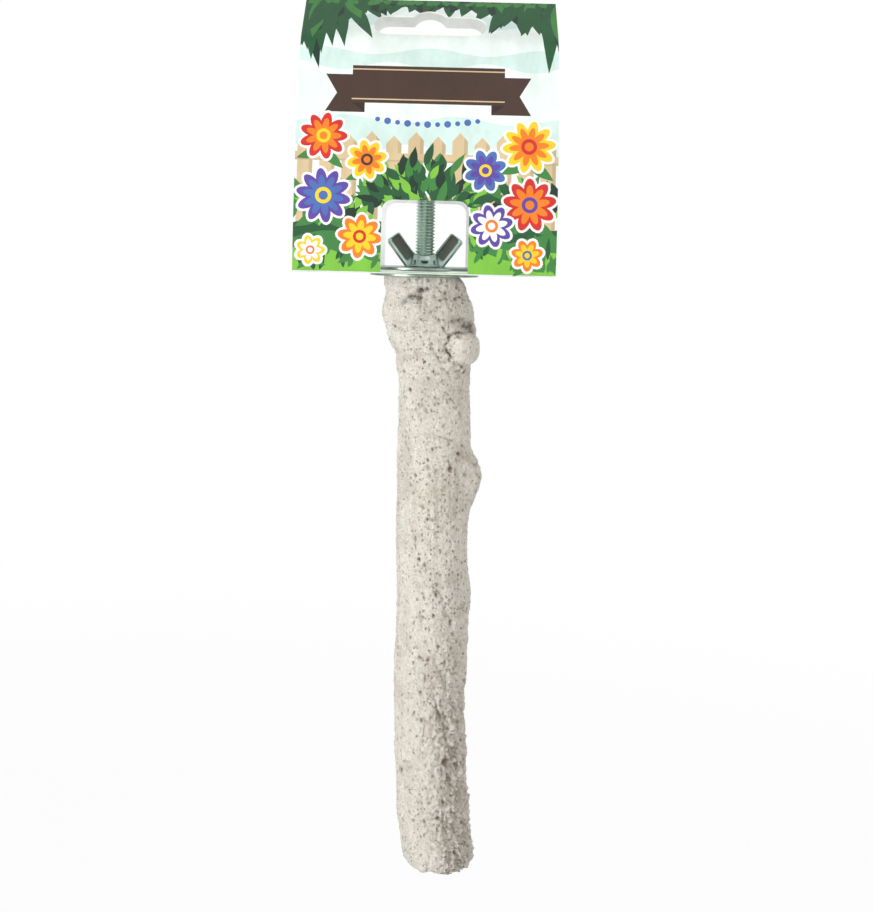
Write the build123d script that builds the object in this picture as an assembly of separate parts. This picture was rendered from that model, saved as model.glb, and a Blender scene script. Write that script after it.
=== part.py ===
from build123d import *
import math
import os

# Bird perch: a branch cast in pale mineral on an M6 stud. A wing nut and two wide washers clamp it
# to cage wires, and hold its folded header card for sale.
# Millimetres. The stud is the Z axis, with the branch below and the card above. The origin is on the
# stud's axis at the clamp plane, the top face of the lower washer. The card's front faces -Y.

# Clearances
TURN_GAP = 0.05
HOLE_GAP = 0.3
THREAD_GAP = 0.05
CAST_GAP = 0.02

# Stud and its hidden anchor nut
STUD_DIAMETER = 6.0
THREAD_PITCH = 1.0
STUD_REACH = 45.0
STUD_EMBED = 30.0
ANCHOR_WALL = 1.95
ANCHOR_HEIGHT = 5.0

# Washers
WASHER_DIAMETER = 33.5
WASHER_THICKNESS = 0.8
WASHER_EDGE = 0.15

# Wing nut
HUB_BASE_WALL = 1.95
HUB_TOP_WALL = 0.95
HUB_HEIGHT = 4.4
SADDLE_DIP = 0.8
WING_SINK = 0.1
WING_ROOT_UP = 2.5
WING_LENGTH = 8.6
WING_WIDTH = 4.9
WING_THICKNESS = 2.4
WING_ANGLE = 53.0
WING_CORNER = 1.0
WING_RIM = 0.7
WING_RECESS = 0.45

# Header card
CARD_THICKNESS = 0.5
CARD_WIDTH = 78.6
FLOOR_MARGIN = 1.3
FLAP_MARGIN = 3.5
FRONT_BELLY = 0.2
FRONT_BELLY_HEIGHT = 29.0
BACK_BELLY = 2.5
BACK_BELLY_HEIGHT = 34.0
CREASE_HEIGHT = 71.5
CREASE_INSET = 10.0
FRONT_TAB_ANGLE = 42.0
BACK_TAB_ANGLE = 54.5
WINDOW_MARGIN = 1.0
WINDOW_SILL = 0.2
WINDOW_TOP = 22.1
WINDOW_CORNER = 3.3
SLOT_LENGTH = 34.5
SLOT_HEIGHT = 10.3
SLOT_FROM_RIDGE = 9.2
SLOT_FROM_CREASE = 2.1
SLOT_END_FLAT = 1.6
SLOT_BUMP_LENGTH = 10.0
SLOT_BUMP_RISE = 2.8

# Branch: a collar swells under its top end, and its lower end is broken off
BRANCH_DIAMETER = 22.0
BRANCH_LENGTH = 184.0
COLLAR_LENGTH = 35.0
BROKEN_LENGTH = 6.5
# Each stretch's outline, as rows of (share of the stretch, sideways drift, swell over the radius)
COLLAR_OUTLINE = [
    (0.0, 0.0, -0.3),
    (0.08, 0.4, 1.2),
    (0.19, 1.1, 2.6),
    (0.33, 1.5, 3.2),
    (0.5, 2.1, 2.2),
    (0.71, 3.4, 0.7),
    (1.0, 4.0, -0.1),
]
SHAFT_OUTLINE = [
    (0.12, 4.3, 0.4),
    (0.27, 4.1, 0.0),
    (0.48, 5.0, 0.1),
    (0.69, 4.9, -0.3),
    (0.9, 6.3, 0.0),
    (1.0, 8.7, 0.1),
]
BROKEN_OUTLINE = [
    (0.5, 8.9, -0.6),
    (0.8, 9.0, -2.8),
    (1.0, 9.2, -6.4),
]
# Knots on the branch: depth, angle from +X, rise, spread above, spread below, spread around
BRANCH_KNOTS = [
    (22.0, -39.0, 4.0, 3.9, 3.9, 3.7),
    (59.5, -12.0, 4.0, 4.2, 10.0, 4.2),
    (10.0, -105.0, 1.2, 5.0, 6.0, 6.0),
    (98.0, 10.0, 0.6, 6.0, 9.0, 5.0),
    (11.6, -118.0, 0.7, 3.4, 3.4, 5.6),
    (15.0, -178.0, 0.3, 3.4, 3.4, 6.0),
    (66.2, -10.0, 0.7, 4.2, 4.2, 3.4),
    (39.2, 100.0, 0.9, 6.0, 6.0, 5.5),
    (117.2, 70.0, 0.8, 7.0, 7.0, 5.0),
    (149.2, 150.0, 0.8, 5.0, 5.0, 5.0),
]
# Slanting ridges of the lower branch: where each starts and ends as shares of the branch's length,
# its angles from +X at both ends, and its rise
BRANCH_RIDGES = [
    (0.5, 0.61, -74.0, -30.0, 0.7),
    (0.62, 0.71, -75.0, -32.0, 0.7),
    (0.68, 0.78, -78.0, -16.0, 0.8),
    (0.8, 0.98, -82.0, -76.0, 0.9),
    (0.72, 0.9, -112.0, -98.0, 0.5),
    (0.6, 0.8, -12.0, 18.0, 0.6),
    (0.82, 0.98, -30.0, -8.0, 0.6),
    (0.55, 0.72, 48.0, 82.0, 0.7),
    (0.75, 0.95, 58.0, 92.0, 0.7),
    (0.58, 0.8, 116.0, 148.0, 0.6),
    (0.82, 0.98, 138.0, 164.0, 0.7),
    (0.64, 0.88, -174.0, -138.0, 0.6),
]
RIDGE_WIDTH = 3.4
RIDGE_FADE = 5.0
SECTION_STEP = BRANCH_LENGTH / 46
SECTION_POINTS = 24
BROKEN_STEPS = 3

# Sizes worked out from those above
stud_radius = STUD_DIAMETER / 2
thread_depth = 0.6134 * THREAD_PITCH
nut_bore = stud_radius + THREAD_GAP
anchor_flats = 2 * (nut_bore + ANCHOR_WALL)
hub_base = nut_bore + HUB_BASE_WALL
hub_top = nut_bore + HUB_TOP_WALL
hole_radius = stud_radius + HOLE_GAP
branch_top = -WASHER_THICKNESS
stud_bottom = branch_top - STUD_EMBED
card_bottom = TURN_GAP
floor_height = 2 * CARD_THICKNESS + TURN_GAP
upper_washer_bottom = card_bottom + floor_height + TURN_GAP
nut_bottom = upper_washer_bottom + WASHER_THICKNESS + TURN_GAP
wing_root = hub_base - WING_SINK
wing_reach = wing_root + WING_LENGTH * math.cos(math.radians(WING_ANGLE))
wing_span = 2 * (wing_reach + WING_WIDTH / 2 * math.sin(math.radians(WING_ANGLE)))
half_floor = WASHER_DIAMETER / 2 + FLOOR_MARGIN
flap_reach = half_floor - FLAP_MARGIN
tab_length = SLOT_FROM_RIDGE + SLOT_HEIGHT + SLOT_FROM_CREASE
shaft_length = BRANCH_LENGTH - COLLAR_LENGTH - BROKEN_LENGTH


def branch_rows():
    """The whole outline of the branch, as rows of (depth under its top end, drift, radius)."""
    stretches = [
        (0.0, COLLAR_LENGTH, COLLAR_OUTLINE),
        (COLLAR_LENGTH, shaft_length, SHAFT_OUTLINE),
        (COLLAR_LENGTH + shaft_length, BROKEN_LENGTH, BROKEN_OUTLINE),
    ]
    rows = []
    for start, length, outline in stretches:
        for share, drift, swell in outline:
            rows.append((start + share * length, drift, BRANCH_DIAMETER / 2 + swell))
    return rows


def smooth_outline(rows, depth):
    """Drift and radius of the branch at a depth, eased between the outline's rows."""
    for upper, lower in zip(rows, rows[1:]):
        if depth <= lower[0]:
            share = (depth - upper[0]) / (lower[0] - upper[0])
            eased = share * share * (3 - 2 * share)
            drift = upper[1] + (lower[1] - upper[1]) * eased
            radius = upper[2] + (lower[2] - upper[2]) * eased
            return drift, radius
    return rows[-1][1], rows[-1][2]


def knot_rise(depth, angle, radius):
    """How far the knots swell the branch's surface at a depth and an angle in degrees."""
    rise = 0.0
    for knot_depth, knot_angle, height, above, below, around in BRANCH_KNOTS:
        along = depth - knot_depth
        spread = below if along > 0 else above
        turn = (angle - knot_angle + 180.0) % 360.0 - 180.0
        across = math.radians(turn) * radius
        rise += height * math.exp(-((along / spread) ** 2) - (across / around) ** 2)
    return rise


def ridge_rise(depth, angle, radius):
    """How far the slanting ridges lift the branch's surface at a depth and an angle in degrees."""
    rise = 0.0
    for first, last, first_angle, last_angle, height in BRANCH_RIDGES:
        start = first * BRANCH_LENGTH
        end = last * BRANCH_LENGTH
        along = min(max(depth, start), end)
        share = (along - start) / (end - start)
        middle = first_angle + share * (last_angle - first_angle)
        turn = (angle - middle + 180.0) % 360.0 - 180.0
        across = math.radians(turn) * radius
        rise += height * math.exp(-(((depth - along) / RIDGE_FADE) ** 2) - (across / RIDGE_WIDTH) ** 2)
    return rise


def branch_section(rows, depth):
    """One closed outline of the branch, square to the stud."""
    drift, radius = smooth_outline(rows, depth)
    points = []
    for index in range(SECTION_POINTS):
        angle = 360.0 * index / SECTION_POINTS
        reach = radius + knot_rise(depth, angle, radius) + ridge_rise(depth, angle, radius)
        x = drift + reach * math.cos(math.radians(angle))
        y = reach * math.sin(math.radians(angle))
        points.append((x, y, branch_top - depth))
    return Wire([Spline(*points, periodic=True)])


def section_depths():
    """Depths of the branch's sections, which lie closer together where its end is broken off."""
    whole = COLLAR_LENGTH + shaft_length
    steps = round(whole / SECTION_STEP)
    depths = [whole * step / steps for step in range(steps)]
    return depths + [whole + BROKEN_LENGTH * step / BROKEN_STEPS for step in range(BROKEN_STEPS + 1)]


def perch_branch():
    """The cast branch, with the mould of the stud and its anchor nut inside."""
    rows = branch_rows()
    bar = Solid.make_loft([branch_section(rows, depth) for depth in section_depths()])
    hole_depth = STUD_EMBED + CAST_GAP
    stud_hole = Pos(0, 0, branch_top - hole_depth) * Cylinder(
        stud_radius + CAST_GAP, hole_depth + 1, align=(Align.CENTER, Align.CENTER, Align.MIN)
    )
    pocket = hexagon(anchor_flats + 2 * CAST_GAP, ANCHOR_HEIGHT + 2 * CAST_GAP)
    pocket = Pos(0, 0, stud_bottom - CAST_GAP) * pocket
    return bar - stud_hole - pocket


def hexagon(flats, height):
    """A hexagon prism standing on z = 0, with its size across flats."""
    return extrude(RegularPolygon(flats / 2, 6, major_radius=False), height)


def threaded_stud():
    """The stud at its thread's crest, chamfered down to the root at both ends."""
    rod = Pos(0, 0, stud_bottom) * Cylinder(
        stud_radius, STUD_REACH - stud_bottom, align=(Align.CENTER, Align.CENTER, Align.MIN)
    )
    return chamfer(rod.edges().filter_by(GeomType.CIRCLE), thread_depth)


def anchor_nut():
    """The hexagon nut on the stud's inner end."""
    nut = Pos(0, 0, stud_bottom) * hexagon(anchor_flats, ANCHOR_HEIGHT)
    return nut - Pos(0, 0, stud_bottom) * Cylinder(nut_bore, 3 * ANCHOR_HEIGHT)


def washer(bottom):
    """A wide flat washer with softened rims."""
    disc = Pos(0, 0, bottom) * Cylinder(
        WASHER_DIAMETER / 2, WASHER_THICKNESS, align=(Align.CENTER, Align.CENTER, Align.MIN)
    )
    disc = fillet(disc.edges().filter_by(GeomType.CIRCLE), WASHER_EDGE)
    return disc - Pos(0, 0, bottom) * Cylinder(hole_radius, 4 * WASHER_THICKNESS)


def wing(side):
    """One rimmed paddle of the wing nut, leaning outwards on the side of the given sign."""
    outline = RectangleRounded(WING_LENGTH, WING_WIDTH, WING_CORNER)
    face_width = WING_WIDTH - 2 * WING_RIM
    face = RectangleRounded(WING_LENGTH - 2 * WING_RIM, face_width, WING_CORNER * face_width / WING_WIDTH)
    paddle = extrude(outline, WING_THICKNESS / 2, both=True)
    floor = WING_THICKNESS / 2 - WING_RECESS
    for way in (1, -1):
        paddle -= Pos(0, 0, way * (floor + WING_THICKNESS / 2)) * extrude(face, WING_THICKNESS / 2, both=True)
    middle = WING_LENGTH / 2
    lean = math.radians(WING_ANGLE)
    x = side * (wing_root + middle * math.cos(lean))
    z = nut_bottom + WING_ROOT_UP + middle * math.sin(lean)
    turn = Rot(90, 0, 0) * Rot(0, 0, WING_ANGLE if side > 0 else 180 - WING_ANGLE)
    return Pos(x, 0, z) * turn * paddle


def wing_nut():
    """Cone hub with a saddle top, two paddles and the threaded hole at the thread's crest."""
    hub = Pos(0, 0, nut_bottom) * Cone(
        hub_base, hub_top, HUB_HEIGHT, align=(Align.CENTER, Align.CENTER, Align.MIN)
    )
    saddle_radius = (hub_top**2 + SADDLE_DIP**2) / (2 * SADDLE_DIP)
    saddle = Rot(90, 0, 0) * Cylinder(saddle_radius, 4 * hub_base)
    saddle = Pos(0, 0, nut_bottom + HUB_HEIGHT - SADDLE_DIP + saddle_radius) * saddle
    body = hub - saddle + wing(1) + wing(-1)
    above_base = Pos(0, 0, nut_bottom) * Box(
        2 * wing_span, wing_span, wing_span, align=(Align.CENTER, Align.CENTER, Align.MIN)
    )
    body = body & above_base
    return body - Pos(0, 0, nut_bottom) * Cylinder(nut_bore, 4 * HUB_HEIGHT)


def step_along(point, angle):
    """The point one tab's length from a given one, at an angle in the card's side view."""
    turn = math.radians(angle)
    return point[0] + tab_length * math.cos(turn), point[1] + tab_length * math.sin(turn)


def card_sheet():
    """The folded strip before it is die-cut: floor flaps, bulged panels and the two tabs of the ridge."""
    half = CARD_THICKNESS / 2
    lower_flap = card_bottom + half
    upper_flap = card_bottom + floor_height - half
    front = -half_floor
    front_fold = (front, lower_flap)
    back_fold = (half_floor, upper_flap)
    front_crease = (front + CREASE_INSET, CREASE_HEIGHT)
    ridge = step_along(front_crease, FRONT_TAB_ANGLE)
    back_crease = step_along(ridge, -BACK_TAB_ANGLE)
    strip = [
        Line((flap_reach, lower_flap), front_fold),
        ThreePointArc(front_fold, (front - FRONT_BELLY, FRONT_BELLY_HEIGHT), front_crease),
        Line(front_crease, ridge),
        Line(ridge, back_crease),
        ThreePointArc(back_crease, (half_floor + BACK_BELLY, BACK_BELLY_HEIGHT), back_fold),
        Line(back_fold, (-flap_reach, upper_flap)),
    ]
    outline = Wire(strip).offset_2d(half, kind=Kind.ARC, side=Side.BOTH, closed=True)
    sheet = extrude(Plane.YZ * make_face(outline), CARD_WIDTH / 2, both=True)
    return sheet, front_crease, ridge, back_crease


def slot_outline():
    """The hang slot with its raised middle, drawn flat with its straight top edge on y = 0."""
    end_round = (SLOT_HEIGHT - SLOT_END_FLAT) / 2
    body = Pos(0, -SLOT_HEIGHT / 2) * RectangleRounded(SLOT_LENGTH, SLOT_HEIGHT, end_round)
    half = SLOT_BUMP_LENGTH / 2
    radius = (half**2 + SLOT_BUMP_RISE**2) / (2 * SLOT_BUMP_RISE)
    bump = Pos(0, SLOT_BUMP_RISE - radius) * Circle(radius)
    above = Rectangle(SLOT_LENGTH, 2 * radius, align=(Align.CENTER, Align.MIN))
    return body + (bump & Pos(0, -SLOT_HEIGHT / 2) * above)


def tab_slot(ridge, crease):
    """A cutter for the hang slot through the tab that runs from the ridge down to a crease."""
    down = Vector(0, crease[0] - ridge[0], crease[1] - ridge[1]).normalized()
    centre = Vector(0, *ridge) + down * SLOT_FROM_RIDGE
    tab = Plane(origin=centre, x_dir=(1, 0, 0), z_dir=Vector(1, 0, 0).cross(down * -1))
    return extrude(tab * slot_outline(), 4 * CARD_THICKNESS, both=True)


def window_cutter(way, flap_top):
    """A cutter for the window of the panel on the side of the given sign, square at its sill."""
    width = wing_span + 2 * WINDOW_MARGIN
    sill = flap_top + WINDOW_SILL
    height = WINDOW_TOP - sill
    pane = Pos(0, height / 2) * Rectangle(width, height)
    pane = fillet(pane.vertices().group_by(Axis.Y)[-1], WINDOW_CORNER)
    behind = way * (flap_reach + FLAP_MARGIN / 4)
    pane = Plane(origin=(0, behind, sill), x_dir=(-way, 0, 0), z_dir=(0, way, 0)) * pane
    return extrude(pane, half_floor)


def header_card():
    """The die-cut header card."""
    sheet, front_crease, ridge, back_crease = card_sheet()
    front_window = window_cutter(-1, card_bottom + CARD_THICKNESS)
    back_window = window_cutter(1, card_bottom + floor_height)
    stud_hole = Cylinder(hole_radius, 4 * floor_height)
    card = sheet - front_window - back_window
    return card - tab_slot(ridge, front_crease) - tab_slot(ridge, back_crease) - stud_hole


def main():
    """Build every piece and write one file for each."""
    pieces = {
        "perch_branch": perch_branch(),
        "threaded_stud": threaded_stud(),
        "anchor_nut": anchor_nut(),
        "lower_washer": washer(-WASHER_THICKNESS),
        "upper_washer": washer(upper_washer_bottom),
        "wing_nut": wing_nut(),
        "header_card": header_card(),
    }
    os.makedirs("parts", exist_ok=True)
    for name, piece in pieces.items():
        export_step(piece, f"parts/{name}.step")


main()
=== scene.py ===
import math
import random

import bpy
import numpy as np
from mathutils import Matrix, Vector, noise
from mathutils.bvhtree import BVHTree
from mathutils.geometry import delaunay_2d_cdt


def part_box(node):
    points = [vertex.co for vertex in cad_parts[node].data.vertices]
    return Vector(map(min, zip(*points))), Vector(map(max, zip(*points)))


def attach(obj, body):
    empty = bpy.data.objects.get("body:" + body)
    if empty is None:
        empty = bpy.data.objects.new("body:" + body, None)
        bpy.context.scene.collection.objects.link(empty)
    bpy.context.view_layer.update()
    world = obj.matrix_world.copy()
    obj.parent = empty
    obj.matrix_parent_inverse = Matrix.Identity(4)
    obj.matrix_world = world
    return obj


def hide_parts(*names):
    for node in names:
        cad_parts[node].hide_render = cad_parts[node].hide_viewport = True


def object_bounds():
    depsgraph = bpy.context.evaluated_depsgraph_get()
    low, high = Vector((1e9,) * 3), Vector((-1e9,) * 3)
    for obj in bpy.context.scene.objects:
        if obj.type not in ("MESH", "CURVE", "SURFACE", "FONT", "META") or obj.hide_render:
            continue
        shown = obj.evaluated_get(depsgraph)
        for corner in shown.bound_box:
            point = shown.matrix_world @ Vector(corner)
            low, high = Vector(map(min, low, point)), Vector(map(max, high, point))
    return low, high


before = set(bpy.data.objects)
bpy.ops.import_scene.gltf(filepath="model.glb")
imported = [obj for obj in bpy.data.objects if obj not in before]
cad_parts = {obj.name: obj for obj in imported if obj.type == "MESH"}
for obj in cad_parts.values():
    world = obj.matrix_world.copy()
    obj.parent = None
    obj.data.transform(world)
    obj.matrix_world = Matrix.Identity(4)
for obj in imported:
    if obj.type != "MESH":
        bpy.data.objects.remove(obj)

bl_info = {
    "name": "Bird Perch",
    "version": (1, 0, 0),
    "blender": (4, 5, 0),
    "location": "View3D > Sidebar > Perch",
    "description": "Dresses a clamp-on bird perch: cast branch, stud, wing nut, washers and header card",
    "category": "Object",
}

MM = 0.001
CAD_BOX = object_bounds()

# All lengths down to the lamps are in millimetres.
# The card's side view: points have y towards the back and z up.
FLOOR_HALF = 18.05
FLAP_REACH = 14.55
FRONT_FLAP_Z = 0.3
BACK_FLAP_Z = 0.85
FRONT_BELLY = (-18.25, 29.0)
BACK_BELLY = (20.55, 34.0)
FRONT_CREASE = (-8.05, 71.5)
RIDGE = (8.0, 85.95)
BACK_CREASE = (20.54, 68.37)
CREASE_REACH = 2.0
STUD_HOLE = 3.3

# The card's cuts.
WINDOW_WIDTH = 26.07
WINDOW_TOP = 22.1
WINDOW_CORNER = 3.3
FRONT_SILL = 0.75
BACK_SILL = 1.3
SLOT_LENGTH = 34.5
SLOT_HEIGHT = 10.3
SLOT_FROM_RIDGE = 9.2
SLOT_END_ROUND = 4.35
SLOT_BUMP_HALF = 5.0
SLOT_BUMP_RISE = 2.8
# Steps of the card's curves: its bowed panels, a window's corner, a slot's corner and bump, a stud hole.
BOW_STEPS = 24
ARCH_STEPS = 8
SLOT_STEPS = 9
BUMP_STEPS = 12
HOLE_STEPS = 40
# Nearness at which an outline's points are one point, the cutting's tolerance, and the area, in square
# millimetres, under which a triangle is dropped.
SAME_POINT = 1e-3
CUT_TOLERANCE = 1e-4
LEAST_AREA = 1e-9

# The card's print: half its width, how far the front's print runs past the ridge, how far from the ridge the
# back's print begins, the ribbon's low edge, high edge and half length, and the shade of the fence's sides.
PRINT_HALF = 40.0
PRINT_OVER = 14.0
BACK_PRINT_GAP = 13.0
RIBBON = (51.0, 63.0, 23.0)
TIMBER_SHADE = 0.8
# Rows of the front's flowers: x, height, radius, petals, and inks of outer petals, inner petals and middle.
FLOWERS = [
    (-31.0, 40.5, 7.2, 9, "red", "orange", "yellow"),
    (-17.8, 33.5, 6.0, 8, "yellow", "orange", "bark"),
    (-30.5, 22.5, 8.2, 10, "violet", "blue", "yellow"),
    (-19.4, 10.5, 6.6, 8, "orange", "yellow", "red"),
    (-34.0, 6.2, 4.4, 7, "yellow", "paper", "orange"),
    (17.6, 31.0, 6.4, 8, "blue", "violet", "yellow"),
    (30.5, 38.5, 8.0, 10, "yellow", "orange", "red"),
    (31.0, 21.0, 8.0, 9, "red", "orange", "violet"),
    (19.8, 14.5, 6.4, 8, "violet", "paper", "orange"),
    (30.6, 6.0, 4.8, 7, "orange", "yellow", "blue"),
]
# The back's flowers: x, height, ink.
BACK_FLOWERS = [(-30, 22, "yellow"), (-20, 10, "red"), (19, 20, "orange"), (31, 12, "violet")]

# Noise on the branch: cell size, or its size on x, y and z, seed, and height or share of a setting's height.
FIELDS = {
    "lump": ((9, 9, 13), 1, 1.0),
    "knot": (4.2, 2, 1.2),
    "streak": ((1.7, 1.7, 15), 3, 1.0),
    "band": ((4.5, 4.5, 1.0), 4, 0.8),
    "grain": (0.95, 5, 1.0),
    "coarse": ((2.0, 2.0, 2.4), 6, 0.9),
    "ridge": ((1.6, 1.6, 6.0), 7, 1.0),
    "dune": ((2.6, 2.6, 3.6), 8, 0.35),
    "shard": (2.4, 9, 0.55),
    "chip": (1.1, 10, 0.3),
    "pebble": ((1.5, 1.5, 2.2), 11, 1.0),
    "cobble": ((2.8, 2.8, 3.4), 12, 1.0),
    "sway_x": (2.2, 13, 0.4),
    "shake_x": (0.9, 14, 0.4),
    "sway_z": (2.2, 15, 0.4),
    "shake_z": (0.9, 16, 0.4),
    "ragged": (2.6, 17, 0.6),
    "jag": (3.5, 17, 1.1),
    "grit": ((0.85, 0.85, 1.2), 18, 0.95),
    "crumb": (3.0, 18, 0.9),
    "crumble": (1.2, 19, 0.35),
}
# Stretches of the branch, down from the clamp plane: where each fades in and out.
COLLAR = ((-2, -1), (26, 40))
BANDED = ((32, 38), (70, 95))
LOWER = ((95, 150), (190, 200))
BROKEN = ((172, 182), (190, 200))
# Hollows and swellings of a whole side: 1 for the right or -1 for the left, rise, stretch.
SIDES = [
    (1, -0.9, ((166, 174), (178, 183))),
    (1, -0.35, ((96, 112), (150, 166))),
    (-1, 0.9, ((178, 183), (190, 200))),
]
# The rough lower half: how far clockwise from +X it is roughest, and its roughness all round and there.
ROUGH_TURN = math.radians(38)
ROUGH_ALL = 0.35
ROUGH_SIDE = 1.65
# Furrows between the pebbles: the noise at which they end, and their depth all over, on the collar and
# where the branch is rough.
FURROW_END = 0.16
FURROW_ALL = 0.45
FURROW_COLLAR = 0.25
FURROW_ROUGH = 0.9
# The slanting ridges' lean, the mask of painted shade in the grooves between them, and the grit's share on
# the sides.
RIDGE_LEAN = 0.24
GROOVE_MASK = 0.55
SIDE_GRIT = 0.2
# The smooth left strip, on the side that the key lamp lights, where the pores are smaller and are painted
# fainter
# as painted light: its mask, the range of -cosine in which it begins, and the share of the pores' size.
CALM_STRIP = 0.85
CALM_START = (0.40, 0.75)
CALM_PORES = 0.35
# Pores: their squeeze on z, wobble, least share of the largest radius, rarity of large ones and darkness. The
# darkness, greater where a pore is deeper, is partly the stone's brown tone and partly painted shade.
PORE_SQUEEZE = (1.0, 1.0, 0.62)
PORE_WOBBLE = 0.6
PORE_LEAST = 0.38
PORE_RARITY = 5.0
PORE_DARKNESS = 0.58
# Painted pinholes, tiny holes that only the paint and the bump make, dark as painted shade: cells to a metre,
# squeeze on z, wobble, share of empty cells, largest reach and darkness.
PINHOLE_CELLS = 1050.0
PINHOLE_SQUEEZE = (1.0, 1.0, 0.72)
PINHOLE_WOBBLE = 0.9
PINHOLE_EMPTY = 0.28
PINHOLE_REACH = 0.46
PINHOLE_DARKNESS = 0.34

# Creases in the front of the branch: depth, width, and points (x, z) of the front view. The deeper a crease,
# the
# darker the crease colour paints it: painted shade in the creases.
CREASES = [
    (2.4, 1.15, [(-6.6, -8.0), (-4.8, -6.9), (-2.8, -6.8), (-1.0, -7.1)]),
    (0.75, 1.5, [(-3.0, -6.1), (-0.8, -5.1), (1.2, -4.4)]),
    (0.6, 1.3, [(9.2, -14.3), (11.4, -14.9), (13.2, -16.2)]),
    (0.5, 0.6, [(-8.6, -9.6), (-7.6, -9.0), (-6.4, -7.9)]),
    (0.8, 0.6, [(-0.9, -6.8), (-1.0, -9.4), (-0.5, -11.6)]),
    (0.55, 0.9, [(0.6, -8.8), (2.2, -10.4), (4.4, -10.9)]),
    (0.6, 0.45, [(9.9, -7.2), (12.2, -7.0), (12.2, -8.9)]),
    (0.7, 0.8, [(9.0, -14.0), (10.4, -14.4)]),
    (1.2, 1.5, [(11.8, -14.4), (14.0, -15.9), (14.7, -17.7)]),
    (0.55, 0.6, [(1.6, -16.9), (5.2, -17.5), (8.0, -16.9)]),
    (1.2, 0.5, [(8.6, -18.4), (8.0, -20.0), (6.9, -21.6), (7.8, -23.2), (9.2, -24.9)]),
    (0.8, 0.45, [(8.6, -18.6), (10.2, -17.4), (13.7, -17.5)]),
    (0.6, 0.5, [(3.2, -22.4), (4.0, -23.8), (5.0, -25.8)]),
    (0.5, 0.45, [(6.2, -26.6), (8.2, -25.9), (10.0, -27.2), (9.9, -29.0), (8.0, -29.8), (6.4, -28.6)]),
    (0.6, 0.5, [(10.4, -27.2), (12.6, -27.2), (13.6, -29.4), (11.8, -30.6), (10.6, -29.4)]),
    (0.35, 0.5, [(-2.6, -34.8), (0.4, -35.0), (2.8, -36.0)]),
    (0.5, 0.4, [(3.8, -37.5), (6.4, -37.4), (9.4, -38.2)]),
    (0.5, 0.35, [(4.6, -39.1), (6.8, -39.2)]),
    (0.6, 0.45, [(0.6, -49.2), (4.6, -48.8), (10.2, -50.4)]),
    (0.3, 0.8, [(-4.2, -38.0), (-3.6, -50.0), (-2.2, -62.0)]),
    (0.4, 0.6, [(11.4, -54.0), (12.0, -60.0), (12.2, -66.0), (11.8, -73.0)]),
    (0.6, 0.7, [(13.4, -55.6), (15.6, -57.0), (17.8, -58.6)]),
    (0.25, 0.6, [(5.4, -62.0), (6.2, -74.0), (5.8, -90.0)]),
    (0.65, 0.8, [(6.0, -94.0), (7.6, -98.4), (9.0, -102.5), (10.8, -105.3), (12.9, -112.0)]),
    (0.5, 0.9, [(5.7, -115.9), (8.4, -121.8), (12.0, -129.7)]),
    (0.6, 0.9, [(5.2, -126.0), (7.6, -133.4), (11.1, -138.7), (13.4, -143.1)]),
    (0.45, 0.7, [(9.9, -148.5), (10.9, -152.9), (9.1, -158.2)]),
    (0.5, 0.8, [(8.8, -164.0), (10.4, -169.8), (12.5, -176.2)]),
]
CREASE_SHARPNESS = 1.4
# Small swellings of the branch: degrees from +X, z, reach around, reach along, rise; and its mean radius.
SWELLINGS = [
    (-76, -10.4, 5.0, 3.6, 0.55),
    (-60, -27.8, 2.4, 2.2, 0.55),
    (-34, -29.0, 2.2, 2.0, 0.6),
    (-14, -18.0, 4.0, 3.6, 1.3),
    (-20, -99.0, 5.0, 8.0, 0.5),
]
MEAN_RADIUS = 11
# Single large pits in the front: x, z, radius; their depth, and how much taller than wide they are. They are
# painted in the pore colour, partly the stone's brown tone and partly painted shade, and the first ones, near
# the top, also darken the band under the washer as painted shade.
PITS = [
    (-6.2, -2.8, 0.55), (-4.7, -1.9, 0.45), (-2.6, -1.7, 0.5), (-0.5, -4.6, 0.6), (1.2, -4.1, 0.5),
    (4.9, -2.8, 0.6), (6.6, -5.7, 0.5), (5.0, -7.8, 0.5), (10.3, -3.8, 0.65), (10.1, -7.3, 0.55),
    (-0.5, -13.6, 0.5), (-8.8, -16.1, 0.55), (6.5, -16.3, 0.5), (8.2, -19.2, 0.65), (0.6, -26.7, 0.5),
    (-5.4, -30.0, 0.5), (3.5, -29.5, 0.5), (12.4, -28.2, 0.5), (10.7, -18.9, 0.55), (9.4, -59.0, 0.95),
    (12.0, -54.7, 0.75), (-3.7, -35.5, 0.7), (3.9, -53.0, 0.6), (-1.5, -61.3, 0.65), (2.7, -74.4, 0.6),
    (2.4, -88.3, 0.65), (0.4, -86.6, 0.6), (6.1, -97.3, 0.7), (5.4, -103.5, 0.7), (7.1, -112.8, 0.7),
    (1.3, -116.4, 0.6), (3.9, -117.0, 0.65), (10.0, -147.9, 1.5), (-3.6, -152.0, 0.75),
    (9.8, -160.2, 0.7), (8.3, -164.5, 0.75), (4.0, -165.7, 0.65), (15.2, -167.2, 0.7),
]
PIT_DEPTH = 0.9
PIT_STRETCH = 1.35
# The knob under the collar: its middle, radius, soft foot, squeeze on z, flatness and smoothness.
KNOB = (12.5, -8.0, -22.2)
KNOB_RADIUS = 4.6
KNOB_FOOT = 0.35
KNOB_SQUEEZE = 0.86
KNOB_FLATNESS = 2.2
KNOB_SMOOTHNESS = 0.75
# The branch's ends: where the straight top fades out, the cosine at which its right side is left rough, the
# stud's hole, and the broken end with its rings of points, its fade and its lift.
TOP_FADE = (2.5, 3.5)
TOP_RIGHT = (0.7, 0.98)
HOLE_RADIUS = 3.05
HOLE_DEPTH = 30.0
END_RINGS = 22
END_FADE = (174.0, 184.8)
END_LIFT = 0.8

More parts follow.
